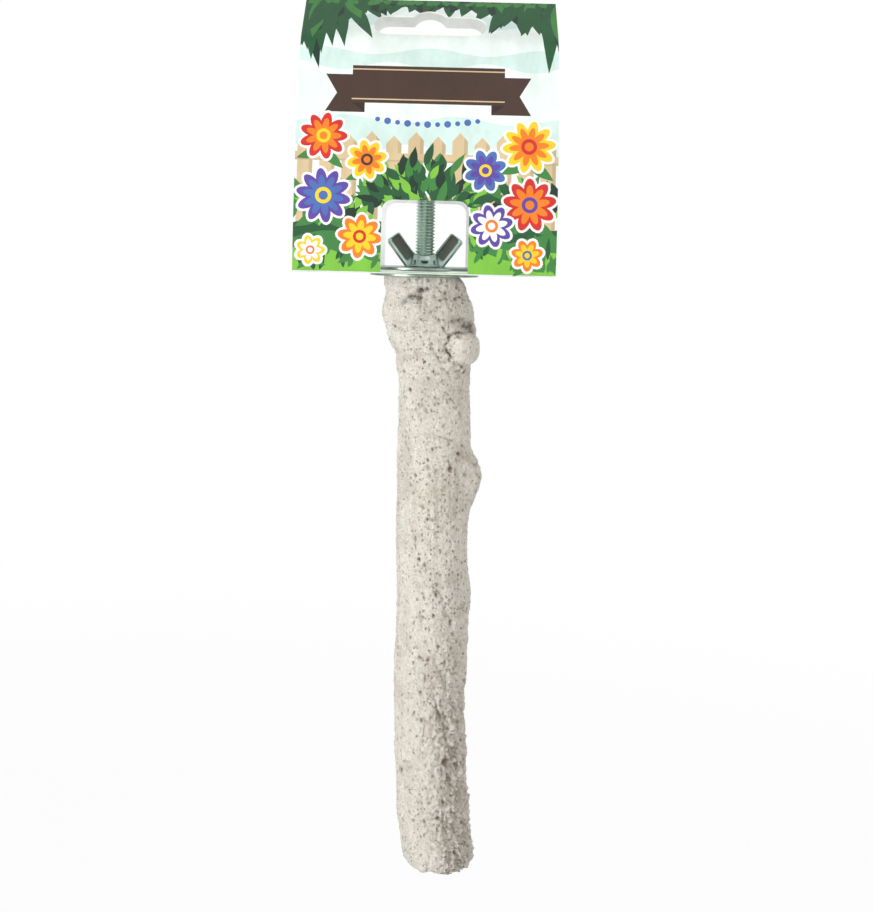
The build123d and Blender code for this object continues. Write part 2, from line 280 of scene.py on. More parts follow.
# The wing nut's hub: radius and height of each row of its outside, the row in its hole, points around,
# its saddle's dip and start, and its dents: degrees from the front or the back, height, half sizes.
HUB_OUTSIDE = [
    (3.3, 0.0), (4.75, 0.0), (4.95, 0.12), (5.0, 0.35), (4.92, 0.55), (4.72, 0.75), (4.62, 1.0), (4.56, 1.3),
    (4.48, 1.7), (4.38, 2.2), (4.28, 2.8), (4.2, 3.4), (4.1, 4.0), (3.98, 4.3), (3.7, 4.42), (3.4, 4.4),
    (3.05, 4.2),
]
HUB_HOLE = (3.05, 0.3)
HUB_POINTS = 128
SADDLE_DIP = 0.85
SADDLE_START = 1.6
DENTS = [(-44, 1.35, 6.0, 0.42), (0, 1.4, 17.0, 0.36), (44, 1.35, 6.0, 0.42)]
DENT_DEPTH = 0.75
DENT_LEAST_RADIUS = 4.0
# A share of the sunk faces' painted shade, and of their dullness, over the whole hub.
HUB_DULL_SHADE = 0.18
# The wings: height of their root, length, width, lean in degrees, reach into the hub, and corners.
WING_ROOT_UP = 2.5
WING_LENGTH = 8.6
WING_WIDTH = 4.9
WING_ANGLE = 53.0
WING_TUCK = 3.0
WING_CORNER = 1.0
WING_LEAST_CORNER = 0.35
# Steps from the wing's edge to its sunk face: inset at the root, at the tip, at the lower and at the upper
# edge, half thickness, recess mask, which paints the sunk face darker as painted shade.
WING_STEPS = [
    (0.0, 0.0, 0.0, 0.0, 0.55, 0.0),
    (0.10, 0.08, 0.10, 0.08, 0.92, 0.0),
    (0.30, 0.20, 0.32, 0.22, 1.14, 0.0),
    (0.90, 0.30, 0.72, 0.34, 1.20, 0.0),
    (2.40, 0.42, 1.22, 0.46, 1.14, 0.2),
    (2.90, 0.56, 1.42, 0.58, 1.00, 0.7),
    (3.10, 0.70, 1.55, 0.70, 0.88, 1.0),
    (3.40, 0.95, 1.78, 0.95, 0.80, 1.0),
]

# Where the thread's flank begins and ends, in turns from the middle of its crest.
FLANK = (0.10, 0.44)

# The lamps, in metres: name, place, size and tint, then the point they aim at, and half the floor's side.
LAMPS = [
    ("key", (-0.76, -0.62, 0.02), 0.5, (1.0, 1.0, 1.0)),
    ("fill", (0.42, -0.46, 0.26), 0.6, (1.0, 0.97, 0.90)),
    ("back", (0.35, 0.75, 0.30), 0.6, (1.0, 1.0, 1.0)),
]
LAMP_AIM = (0.0, 0.0, -0.05)
STAGE_HALF = 3.0


def screen(red, green, blue):
    """A colour in screen values of 0 to 255, as the linear RGBA that Blender's sockets take."""
    shares = [value / 255 for value in (red, green, blue)]
    return tuple(((s + 0.055) / 1.055) ** 2.4 if s > 0.04045 else s / 12.92 for s in shares) + (1.0,)


def number(name, description, default, **more):
    """A number property."""
    return bpy.props.FloatProperty(name=name, description=description, default=default, **more)


def whole(name, description, default):
    """A whole number property."""
    return bpy.props.IntProperty(name=name, description=description, default=default)


def length(name, description, millimetres):
    """A length property, in metres, with its default given in millimetres."""
    return number(name, description, millimetres * MM, unit="LENGTH", precision=5)


def colour(name, description, *shades):
    """A colour property, with its default given in screen values."""
    return bpy.props.FloatVectorProperty(
        name=name, description=description, default=screen(*shades), subtype="COLOR", size=4, min=0.0, max=1.0
    )


class PerchBranchSettings(bpy.types.PropertyGroup):
    """Sizes and colours of the cast branch."""

    rings: whole("Rings", "Rows of points along the branch", 510)
    points: whole("Points", "Points around the branch", 180)
    lumps: length("Lumps", "Height of the broad waves of the casting", 0.22)
    streaks: length("Streaks", "Depth of the streaks along the branch", 0.16)
    grain: length("Grain", "Height of the rough grain", 0.20)
    pebbles: length("Pebbles", "Depth of the furrows between the coarse grains", 0.42)
    ridges: length("Ridges", "Height of the finer slanting ridges near the lower end", 0.62)
    pore_radius: length("Pore Radius", "Largest radius of a pore", 0.75)
    pore_depth: length("Pore Depth", "Depth of the deepest pore", 0.75)
    pore_density: number("Pore Density", "Pores on a square metre of surface", 250000.0)
    seed: whole("Seed", "Seed of the pores and the grain", 4)
    stone: colour("Stone", "Main colour of the casting", 231, 226, 215)
    stain: colour("Stain", "Colour of its darker patches", 216, 208, 196)
    # Partly the stone's brown tone and partly painted shade: the colour of the pores, pits and pinholes.
    pore: colour("Pore", "Colour inside the pores", 132, 107, 88)
    # Painted shade: the darkest colour that the creases and the grooves are painted.
    crease: colour("Crease", "Colour at the bottom of the creases", 88, 83, 76)


class PerchHardwareSettings(bpy.types.PropertyGroup):
    """Sizes and colours of the zinc plated hardware."""

    pitch: length("Pitch", "Rise of the thread in one turn", 1.0)
    thread_depth: length("Thread Depth", "Depth of the thread under its crest", 0.55)
    chamfer: length("Chamfer", "Chamfer at the ends of the stud", 0.7)
    around: whole("Around", "Points around the stud", 73)
    along: whole("Along", "Rows of points along the stud", 763)
    zinc: colour("Zinc", "Colour of the plated steel", 136, 155, 144)
    tarnish: colour("Tarnish", "Colour of its dull patches", 112, 129, 119)
    # The stud's thread is a brighter copy of the zinc, painted light against the shade in its grooves and
    # under the card, with darker streaks along it as painted reflections.
    thread: colour("Thread", "Colour of the stud's thread", 198, 217, 205)
    thread_shade: colour("Thread Shade", "Colour of the thread's dull patches", 140, 160, 148)
    bright: colour("Bright Zinc", "Colour of the wing nut's polished rims", 176, 197, 190)
    # Painted shade: the sunk faces and the hub's dents are painted in these two colours, mixed in patches.
    recess: colour("Recess", "Colour of the wing nut's sunk faces", 100, 92, 84)
    sunk_shade_green: colour("Sunk Shade Green", "Colour of the greener patches of its sunk faces", 84, 99, 91)


class PerchCardSettings(bpy.types.PropertyGroup):
    """Sizes and print colours of the header card."""

    thickness: length("Thickness", "Thickness of the card", 0.5)
    fold: length("Fold", "Reach of the bend on each side of a fold", 0.9)
    seed: whole("Seed", "Seed of the scattered leaves", 11)
    paper: colour("Paper", "Unprinted card", 246, 247, 245)
    ground: colour("Ground", "Pale ground of the print", 236, 247, 243)
    mist: colour("Mist", "Cooler tint of the ground", 211, 235, 229)
    night: colour("Night Green", "Darkest leaves", 18, 48, 34)
    forest: colour("Forest Green", "Dark leaves", 32, 84, 48)
    leaf: colour("Leaf Green", "Middle leaves", 62, 128, 62)
    lime: colour("Lime Green", "Light leaves and meadow", 124, 190, 66)
    wood: colour("Wood", "Fence and stripes", 214, 190, 150)
    bark: colour("Bark", "Ribbon", 66, 46, 38)
    soil: colour("Soil", "Ends of the ribbon", 44, 30, 26)
    blue: colour("Blue", "Blue flowers and beads", 74, 108, 176)
    violet: colour("Violet", "Violet flowers", 92, 70, 160)
    red: colour("Red", "Red flowers", 206, 44, 40)
    orange: colour("Orange", "Orange flowers", 240, 128, 32)
    yellow: colour("Yellow", "Yellow flowers", 246, 206, 40)


class PerchStageSettings(bpy.types.PropertyGroup):
    """Camera and light."""

    distance: length("Distance", "Distance of the camera from the stud", 450.0)
    height: length("Height", "Height of the camera over the clamp plane", 11.0)
    aside: length("Aside", "Shift of the camera to the right of the stud", 3.5)
    roll: number("Roll", "Lean of the camera", math.radians(1.4), subtype="ANGLE")
    lens: number("Lens", "Focal length in millimetres", 57.2)
    shift: number("Shift", "Vertical shift of the view", -0.239)
    floor_drop: length("Floor Drop", "Room between the branch's end and the floor", 45.0)
    key_power: number("Key Power", "Power of the large lamp at the left", 6.3, unit="POWER")
    fill_power: number("Fill Power", "Power of the lamp at the right", 1.45, unit="POWER")
    back_power: number("Back Power", "Power of the lamp behind the object", 3.0, unit="POWER")
    sky: number("Sky", "Strength of the even light", 0.52)


class Nodes:
    """Adds nodes to a tree. An input that is a socket is linked, and any other is set as a value."""

    def __init__(self, tree):
        self.tree = tree

    def feed(self, node, inputs):
        """Sets or links inputs of a node."""
        for name, value in inputs.items():
            if isinstance(value, bpy.types.NodeSocket):
                self.tree.links.new(value, node.inputs[name])
            else:
                node.inputs[name].default_value = value

    def add(self, kind, inputs=None, **settings):
        """The outputs of a new node with its settings and inputs."""
        made = self.tree.nodes.new(kind)
        for name, value in settings.items():
            setattr(made, name, value)
        self.feed(made, inputs or {})
        return made.outputs

    def calc(self, operation, first, second=0.0, clamp=False):
        """The result of a Math node."""
        return self.add("ShaderNodeMath", {0: first, 1: second}, operation=operation, use_clamp=clamp)[0]

    def plus(self, first, second):
        """A sum."""
        return self.calc("ADD", first, second)

    def minus(self, first, second):
        """A difference."""
        return self.calc("SUBTRACT", first, second)

    def times(self, first, second):
        """A product."""
        return self.calc("MULTIPLY", first, second)

    def vector(self, operation, first, second):
        """The result of a Vector Math node."""
        return self.add("ShaderNodeVectorMath", {0: first, 1: second}, operation=operation)[0]

    def scaled(self, first, scale):
        """A vector times a number."""
        return self.add("ShaderNodeVectorMath", {0: first, "Scale": scale}, operation="SCALE")[0]

    def mix(self, share, first, second, blend="MIX"):
        """A mix of two colours."""
        inputs = {0: share, 6: first, 7: second}
        return self.add("ShaderNodeMix", inputs, data_type="RGBA", blend_type=blend)[2]

    def tint(self, first, second):
        """A product of two colours."""
        return self.mix(1.0, first, second, "MULTIPLY")

    def remap(self, value, low, high, to_low=0.0, to_high=1.0, smooth=True):
        """A number moved from one range to another."""
        kind = "SMOOTHSTEP" if smooth else "LINEAR"
        inputs = {0: value, 1: low, 2: high, 3: to_low, 4: to_high}
        return self.add("ShaderNodeMapRange", inputs, interpolation_type=kind)[0]

    def noise(self, place, scale, detail, **more):
        """The outputs of a noise texture."""
        return self.add("ShaderNodeTexNoise", {"Vector": place, "Scale": scale, "Detail": detail, **more})

    def place(self):
        """Coordinates on the piece."""
        return self.add("ShaderNodeTexCoord")["Object"]

    def mark(self, name):
        """A number that the mesh keeps in an attribute, for a material."""
        return self.add("ShaderNodeAttribute", attribute_name=name)["Fac"]

    def field(self, name):
        """A number that the mesh keeps in an attribute, for a geometry tree."""
        return self.add("GeometryNodeInputNamedAttribute", {"Name": name}, data_type="FLOAT")[0]

    def grain(self, fine, broad, stretch=(1.0, 1.0, 1.0)):
        """The fine and the broad noise of the shared grain group, with their scales."""
        inputs = {"Fine Scale": fine, "Broad Scale": broad, "Stretch": stretch}
        made = self.add("ShaderNodeGroup", inputs, node_tree=grain_group())
        return made["Fine"], made["Broad"]

    def bump(self, height, strength, millimetres):
        """A normal that follows a height."""
        inputs = {"Height": height, "Strength": strength, "Distance": millimetres * MM}
        return self.add("ShaderNodeBump", inputs)[0]


def new_group(name, kind, inputs, outputs):
    """A node group with named sockets: its nodes, its inputs by name and its output node."""
    tree = bpy.data.node_groups.new(name, kind)
    for socket, sort, value in inputs:
        made = tree.interface.new_socket(socket, in_out="INPUT", socket_type=f"NodeSocket{sort}")
        if value is not None:
            made.default_value = value
    for socket, sort in outputs:
        tree.interface.new_socket(socket, in_out="OUTPUT", socket_type=f"NodeSocket{sort}")
    return Nodes(tree), tree.nodes.new("NodeGroupInput").outputs, tree.nodes.new("NodeGroupOutput")


def grain_group():
    """A shader group of two sizes of noise on the piece: fine grain and broad blotches."""
    name = "Surface Grain"
    if name in bpy.data.node_groups:
        return bpy.data.node_groups[name]
    inputs = [
        ("Fine Scale", "Float", 1500.0),
        ("Broad Scale", "Float", 120.0),
        ("Stretch", "Vector", (1.0, 1.0, 1.0)),
    ]
    outputs = [("Fine", "Float"), ("Broad", "Float")]
    nodes, given, end = new_group(name, "ShaderNodeTree", inputs, outputs)
    place = nodes.vector("MULTIPLY", nodes.place(), given["Stretch"])
    for size, detail in (("Fine", 4.0), ("Broad", 5.0)):
        field = nodes.noise(place, given[f"{size} Scale"], detail, Roughness=0.6)
        nodes.feed(end, {size: field[0]})
    return nodes.tree


def empty_nodes(owner):
    """The emptied node tree of a material or a world."""
    owner.use_nodes = True
    owner.node_tree.nodes.clear()
    return Nodes(owner.node_tree)


def new_material(name):
    """An empty node material, with its nodes and its Principled shader."""
    made = bpy.data.materials.new(name)
    nodes = empty_nodes(made)
    shader = nodes.tree.nodes.new("ShaderNodeBsdfPrincipled")
    nodes.add("ShaderNodeOutputMaterial", {0: shader.outputs[0]})
    return made, nodes, shader


def stone_material(settings):
    """Rough cast mineral: warm off-white, stained in patches, with pores and pinholes painted dark, partly
    its brown tone and partly painted shade, and painted shade in its creases and grooves.
    """
    made, nodes, shader = new_material("rough_mineral")
    fine, broad = nodes.grain(1400.0, 130.0)
    blotch = nodes.remap(broad, 0.42, 0.68)
    speck = nodes.remap(fine, 0.32, 0.70, 0.86, 1.06)
    streak = nodes.remap(nodes.grain(900.0, 420.0, (1.0, 1.0, 0.10))[1], 0.35, 0.65, 0.93, 1.03)
    base = nodes.mix(blotch, settings.stone, settings.stain)
    base = nodes.tint(nodes.tint(base, speck), streak)
    place = nodes.place()
    wobble = nodes.scaled(nodes.noise(place, 2600.0, 2.0)["Color"], PINHOLE_WOBBLE * MM)
    spot = nodes.vector("MULTIPLY", nodes.vector("ADD", place, wobble), PINHOLE_SQUEEZE)
    cells = nodes.add("ShaderNodeTexVoronoi", {"Vector": spot, "Scale": PINHOLE_CELLS})
    chance = nodes.add("ShaderNodeSeparateColor", {0: cells["Color"]})[0]
    reach = nodes.remap(chance, PINHOLE_EMPTY, 1.0, 0.0, PINHOLE_REACH, False)
    pinhole = nodes.remap(cells["Distance"], nodes.times(reach, 0.55), reach, 1.0, 0.0)
    pinhole = nodes.times(pinhole, nodes.calc("GREATER_THAN", reach, 0.02))
    # Pinholes fainter on the smooth knob and, as painted light, on the lit left strip.
    pinhole = nodes.times(pinhole, nodes.remap(nodes.mark("calm"), 0.0, 1.0, 1.0, CALM_PORES, False))
    # Painted shade: pinholes and pores are painted towards the pore colour.
    dark = nodes.calc("MAXIMUM", nodes.times(pinhole, PINHOLE_DARKNESS), nodes.mark("pore"), True)
    base = nodes.mix(dark, base, settings.pore)
    # Painted shade: the creases and grooves are painted towards the crease colour.
    edge = nodes.plus(nodes.mark("crease"), nodes.times(fine, 1.2))
    base = nodes.mix(nodes.remap(edge, 0.85, 1.55, 0.0, 0.85), base, settings.crease)
    height = nodes.minus(fine, nodes.times(pinhole, 1.2))
    normal = nodes.bump(height, 1.0, 0.8)
    inputs = {"Base Color": base, "Roughness": 0.92, "Specular IOR Level": 0.25, "Normal": normal}
    nodes.feed(shader, inputs)
    return made


def zinc_material(name, light, dark, patch=260.0, stretch=(1.0, 1.0, 1.0)):
    """Zinc plated steel, dull in patches or streaks and finely brushed; on the stud the streaks are painted
    reflections.
    """
    made, nodes, shader = new_material(name)
    fine, broad = nodes.grain(2600.0, patch, stretch)
    base = nodes.mix(nodes.remap(broad, 0.40, 0.70), light, dark)
    rough = nodes.remap(broad, 0.3, 0.75, 0.26, 0.46)
    normal = nodes.bump(fine, 0.12, 0.05)
    nodes.feed(shader, {"Base Color": base, "Metallic": 1.0, "Roughness": rough, "Normal": normal})
    return made


def bright_material(settings):
    """Bright zinc with duller sunk faces painted darker as painted shade, which the attribute named recess
    marks.
    """
    made, nodes, shader = new_material("polished_zinc")
    fine, broad = nodes.grain(2200.0, 420.0)
    recess = nodes.mark("recess")
    polished = nodes.mix(nodes.remap(broad, 0.40, 0.72, 0.0, 0.35), settings.bright, settings.tarnish)
    # Painted shade for the sunk faces and the dents.
    sunk = nodes.mix(nodes.remap(broad, 0.38, 0.62), settings.recess, settings.sunk_shade_green)
    base = nodes.mix(recess, polished, sunk)
    rough = nodes.plus(nodes.remap(broad, 0.3, 0.75, 0.16, 0.30), recess)
    rough = nodes.calc("MINIMUM", rough, 0.55)
    normal = nodes.bump(fine, 0.10, 0.05)
    nodes.feed(shader, {"Base Color": base, "Metallic": 1.0, "Roughness": rough, "Normal": normal})
    return made


def card_material():
    """Printed card with a light coating: the print is the attribute named print."""
    made, nodes, shader = new_material("coated_card")
    fine, broad = nodes.grain(1800.0, 140.0, (1.0, 1.0, 0.45))
    ink = nodes.add("ShaderNodeAttribute", attribute_name="print")["Color"]
    base = nodes.tint(ink, nodes.remap(broad, 0.3, 0.7, 0.90, 1.05))
    rough = nodes.remap(fine, 0.3, 0.7, 0.42, 0.58)
    normal = nodes.bump(fine, 0.10, 0.04)
    inputs = {"Base Color": base, "Roughness": rough, "Specular IOR Level": 0.4, "Normal": normal}
    nodes.feed(shader, inputs)
    return made


def place_mesh(name, mesh):
    """A new object for a mesh."""
    made = bpy.data.objects.new(name, mesh)
    bpy.context.scene.collection.objects.link(made)
    return made


def smooth(mesh, sharp):
    """Smooth shading, with edges sharper than an angle in degrees kept sharp."""
    mesh.validate()
    mesh.shade_smooth()
    mesh.set_sharp_from_angle(angle=math.radians(sharp))


def new_mesh(name, vertices, faces, material, sharp=180):
    """A smooth shaded mesh with one material."""
    mesh = bpy.data.meshes.new(name)
    mesh.from_pydata([tuple(v) for v in vertices], [], [tuple(f) for f in faces])
    mesh.materials.append(material)
    smooth(mesh, sharp)
    return mesh


def store(mesh, name, values):
    """A number for each vertex, kept as an attribute."""
    held = mesh.attributes.new(name, "FLOAT", "POINT")
    held.data.foreach_set("value", np.asarray(values, dtype=np.float32).ravel())


def run_tree(name, tree, inputs, sharp, start=None):
    """A plain mesh object from a geometry tree, with its inputs set by name before it is evaluated."""
    mesh = start or bpy.data.meshes.new(f"{name}_start")
    holder = place_mesh(f"{name}_holder", mesh)
    modifier = holder.modifiers.new("Form", "NODES")
    modifier.node_group = tree
    for item in tree.interface.items_tree:
        if item.in_out == "INPUT" and item.name in inputs:
            modifier[item.identifier] = inputs[item.name]
    holder.update_tag()
    bpy.context.view_layer.update()
    shown = holder.evaluated_get(bpy.context.evaluated_depsgraph_get())
    made = bpy.data.meshes.new_from_object(shown)
    made.name = name
    smooth(made, sharp)
    holder.modifiers.clear()
    bpy.data.objects.remove(holder)
    return place_mesh(name, made)


def dress(piece, body, node):
    """Makes a piece ride on a body and stand for a CAD node."""
    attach(piece, body)
    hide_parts(node)


def band(first, second, count):
    """Quads between two closed rings of points, given the number of each ring's first point."""
    pairs = [(j, (j + 1) % count) for j in range(count)]
    return [(first + j, second + j, second + k, first + k) for j, k in pairs]


def noise_field(points, cell, seed):
    """Smooth noise of about -1 to 1 at each point, with one cell size or one for each axis."""
    moved = points / np.asarray(cell) + np.array([seed * 17.31, seed * 5.17, seed * 9.73])
    return np.array([noise.noise(Vector(p)) for p in moved])


def branch_noise(name, points, settings):
    """One of the branch's noises at points in metres, times its height."""
    cell, seed, height = FIELDS[name]
    flat = points.reshape(-1, 3) / MM
    return height * noise_field(flat, cell, seed + settings.seed).reshape(points.shape[:-1])


def fade(values, start, end):
    """0 before start and 1 after end, smooth between."""
    share = np.clip((values - start) / (end - start), 0, 1)
    return share * share * (3 - 2 * share)


def within(values, stretch):
    """1 in a stretch that fades in and out, and 0 outside it."""
    return fade(values, *stretch[0]) * (1 - fade(values, *stretch[1]))


def knob_rise(x, y, z, middle, angles):
    """How far the round knob stands over the surface at each point, seen from the branch's middle."""
    away_x = np.cos(angles)[None]
    away_y = np.sin(angles)[None]
    reach = (x - middle[:, None]) * away_x + y * away_y
    near = (KNOB[0] - middle[:, None]) * away_x + KNOB[1] * away_y
    off = (KNOB[0] - middle[:, None]) ** 2 + KNOB[1] ** 2 - near**2 + (KNOB_SQUEEZE * (KNOB[2] - z)) ** 2
    share = np.clip(off / KNOB_RADIUS**2, 0, 1)
    ball = near + KNOB_RADIUS * np.sqrt(np.clip(1 - share**KNOB_FLATNESS, 0, 1))
    far_under = -10.0
    gap = np.where((off < KNOB_RADIUS**2) & (near > 0), ball - reach, far_under)
    return KNOB_FOOT * np.logaddexp(0, gap / KNOB_FOOT)


def path_nearness(x, z, path, width):
    """1 on a path of the front view, fading to 0 over its width."""
    nearest = np.full(x.shape, np.inf)
    for (x0, z0), (x1, z1) in zip(path, path[1:]):
        dx, dz = x1 - x0, z1 - z0
        share = np.clip(((x - x0) * dx + (z - z0) * dz) / (dx * dx + dz * dz), 0, 1)
        nearest = np.minimum(nearest, np.hypot(x - x0 - share * dx, z - z0 - share * dz))
    return np.exp(-((nearest / width) ** CREASE_SHARPNESS))


def cast_rings(settings):
    """Points of the CAD branch's side in metres, one row a ring, with their angles and each ring's middle."""
    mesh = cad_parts["perch_branch"].data
    corners = [v.co[:] for v in mesh.vertices]
    surface = BVHTree.FromPolygons(corners, [p.vertices[:] for p in mesh.polygons])
    low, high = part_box("perch_branch")
    skin = 0.05 * MM
    levels = np.linspace(high[2] - skin, low[2] + skin, settings.rings)
    angles = np.linspace(-math.pi, math.pi, settings.points, endpoint=False)
    ways = [Vector((math.cos(angle), math.sin(angle), 0)) for angle in angles]
    far = 60 * MM
    rows, middles = [], []
    for z in levels:
        right = surface.ray_cast(Vector((far, 0, z)), Vector((-1, 0, 0)))[0]
        left = surface.ray_cast(Vector((-far, 0, z)), Vector((1, 0, 0)))[0]
        middle = (right.x + left.x) / 2
        start = Vector((middle, 0, z))
        rows.append([surface.ray_cast(start + way * far, -way)[0] for way in ways])
        middles.append(middle)
    return np.array(rows), angles, np.array(middles)


def stone_texture(points, angles, field, settings):
    """Rise of the stone's lumps, grain, furrows and ridges in millimetres, and the mask of painted shade in
    the grooves.
    """
    down = -points[..., 2] / MM
    collar, banded, lower = (within(down, stretch) for stretch in (COLLAR, BANDED, LOWER))
    rise = settings.lumps / MM * (field("lump") + collar * field("knot"))
    rise += settings.streaks / MM * (field("streak") + banded * field("band"))
    rise += settings.grain / MM * (field("grain") + field("coarse"))
    rough = lower * (ROUGH_ALL + ROUGH_SIDE * np.clip(np.cos(angles + ROUGH_TURN), 0, 1)[None] ** 3)
    furrow_depth = FURROW_ALL + FURROW_COLLAR * collar + FURROW_ROUGH * rough
    for name, share in (("pebble", 1.0), ("cobble", 0.8)):
        furrow = np.clip(1 - np.abs(field(name)) / FURROW_END, 0, 1)
        rise -= settings.pebbles / MM * share * furrow * furrow_depth
    slant = points.copy()
    slant[..., 0] += RIDGE_LEAN * slant[..., 2]
    ridge = branch_noise("ridge", slant, settings)
    rise += settings.ridges / MM * rough * ridge
    # Painted shade: the grooves between the ridges are painted towards the crease colour.
    grooves = GROOVE_MASK * np.clip(-2.4 * ridge - 0.1, 0, 1) * np.clip(rough - 0.3, 0, 1)
    facing = SIDE_GRIT + (1 - SIDE_GRIT) * np.clip(-np.sin(angles), 0, 1)[None]
    rise += rough * (field("dune") + facing * field("grit"))
    return rise, grooves


def branch_relief(points, angles, middles, settings):
    """Rise of the stone over the CAD branch at each point, in metres, and its crease, pore and calm masks:
    painted shade in the creases and pits, and where the pores are fewer and fainter.
    """
    x, y, z = (points[..., i] / MM for i in range(3))
    front = y < 0
    cosine = np.cos(angles)[None]

    def field(name):
        """One of the branch's noises at its points."""
        return branch_noise(name, points, settings)

    rise, crease = stone_texture(points, angles, field, settings)
    angle = np.degrees(np.broadcast_to(angles, x.shape))
    for turn, level, around, along, height in SWELLINGS:
        arc = np.radians((angle - turn + 180) % 360 - 180) * MEAN_RADIUS
        reach = (arc / around) ** 2 + ((z - level) / along) ** 2
        rise += height * np.clip(1 - reach, 0, 1) ** 0.4
    knob = knob_rise(x, y, z, middles / MM, angles)
    on_knob = np.clip(knob, 0, 1)
    rise = rise * (1 - KNOB_SMOOTHNESS * on_knob) + knob
    wander_x = x + field("sway_x") + field("shake_x")
    wander_z = z + field("sway_z") + field("shake_z")
    ragged = np.clip(0.9 + field("ragged"), 0.5, 1.3)
    for depth, width, path in CREASES:
        near = path_nearness(wander_x, wander_z, path, width) * front * ragged
        rise -= depth * near
        # The deeper the crease, the darker its painted shade.
        crease = np.maximum(crease, near * min(1.0, depth))
    pore = np.zeros(x.shape)
    pit_x, pit_z = (x + wander_x) / 2, (z + wander_z) / 2
    for px, pz, radius in PITS:
        near = np.clip(1 - np.hypot(pit_x - px, (pit_z - pz) / PIT_STRETCH) / radius, 0, 1) * front
        rise -= PIT_DEPTH * near
        # The pits are painted in the pore colour: partly painted shade.
        pore = np.maximum(pore, np.minimum(1, 1.35 * near))
    rise += within(-z, BROKEN) * (field("shard") + field("chip"))
    for side, height, stretch in SIDES:
        rise += height * np.clip(side * cosine, 0, 1) * within(-z, stretch)
    # The calm mask: the smooth knob, and the lit left strip whose pores are painted fainter as painted light.
    calm = np.maximum(on_knob, CALM_STRIP * fade(-cosine, *CALM_START))
    return rise * MM, crease, pore, calm


def branch_mesh(settings, material):
    """The branch's skin: the CAD side with its relief, a closed broken end and a stud hole in its top."""
    points, angles, middles = cast_rings(settings)
    rise, crease, pore, calm = branch_relief(points, angles, middles, settings)
    way = np.stack([np.cos(angles), np.sin(angles), np.zeros_like(angles)], axis=1)
    skin = points + rise[..., None] * way[None]
    squared = 1 - fade(-skin[..., 2:] / MM, *TOP_FADE)
    squared = squared * (1 - fade(np.cos(angles), *TOP_RIGHT))[None, :, None]
    rim = np.argmax(-points[:, 0, 2] / MM > TOP_FADE[1])
    skin[..., :2] += squared * (skin[rim, :, :2] - skin[..., :2])
    broken = fade(-skin[..., 2] / MM, *END_FADE)
    skin[..., 2] += (END_LIFT + branch_noise("jag", skin, settings)) * MM * broken
    rings, count = skin.shape[:2]
    vertices = skin.reshape(-1, 3).tolist()
    faces = []
    for i in range(rings - 1):
        faces += band(i * count, (i + 1) * count, count)
    middle = skin[-1].mean(axis=0)
    last = (rings - 1) * count
    for share in np.linspace(1, 0, END_RINGS + 1)[1:-1]:
        ring = middle + (skin[-1] - middle) * share
        rough = branch_noise("crumb", ring, settings) + branch_noise("crumble", ring, settings)
        ring[:, 2] = middle[2] + (ring[:, 2] - middle[2]) * share + rough * (1 - share) ** 0.5 * MM
        faces += band(last, len(vertices), count)
        last = len(vertices)
        vertices += ring.tolist()
    faces += [(last + j, len(vertices), last + (j + 1) % count) for j in range(count)]
    vertices.append(middle.tolist())
    lip = len(vertices)
    floor = lip + count
    top = points[0, 0, 2]
    for level in (top, top - HOLE_DEPTH * MM):
        vertices += [(HOLE_RADIUS * MM * x, HOLE_RADIUS * MM * y, level) for x, y, _ in way]
    fan = [(len(vertices), floor + j, floor + (j + 1) % count) for j in range(count)]
    vertices.append((0, 0, top - HOLE_DEPTH * MM))
    for three in zip(band(lip, 0, count), band(floor, lip, count), fan):
        faces += three
    mesh = new_mesh("branch_start", vertices, faces, material)
    spare = np.zeros(len(vertices) - rings * count)
    for name, mask in (("crease", crease), ("pit", pore), ("calm", calm)):
        store(mesh, name, np.concatenate([mask.ravel(), spare]))
    return mesh


def form_tree(name, inputs):
    """A geometry tree with named inputs and one output: its nodes, its inputs and its output node."""
    return new_group(name, "GeometryNodeTree", inputs, [("Geometry", "Geometry")])


def close_tree(nodes, geometry, given, end):
    """Ends a geometry tree: its instances are made real and get the material."""
    real = nodes.add("GeometryNodeRealizeInstances", {"Geometry": geometry})[0]
    painted = nodes.add("GeometryNodeSetMaterial", {"Geometry": real, "Material": given["Material"]})[0]
    nodes.feed(end, {0: painted})
    return nodes.tree


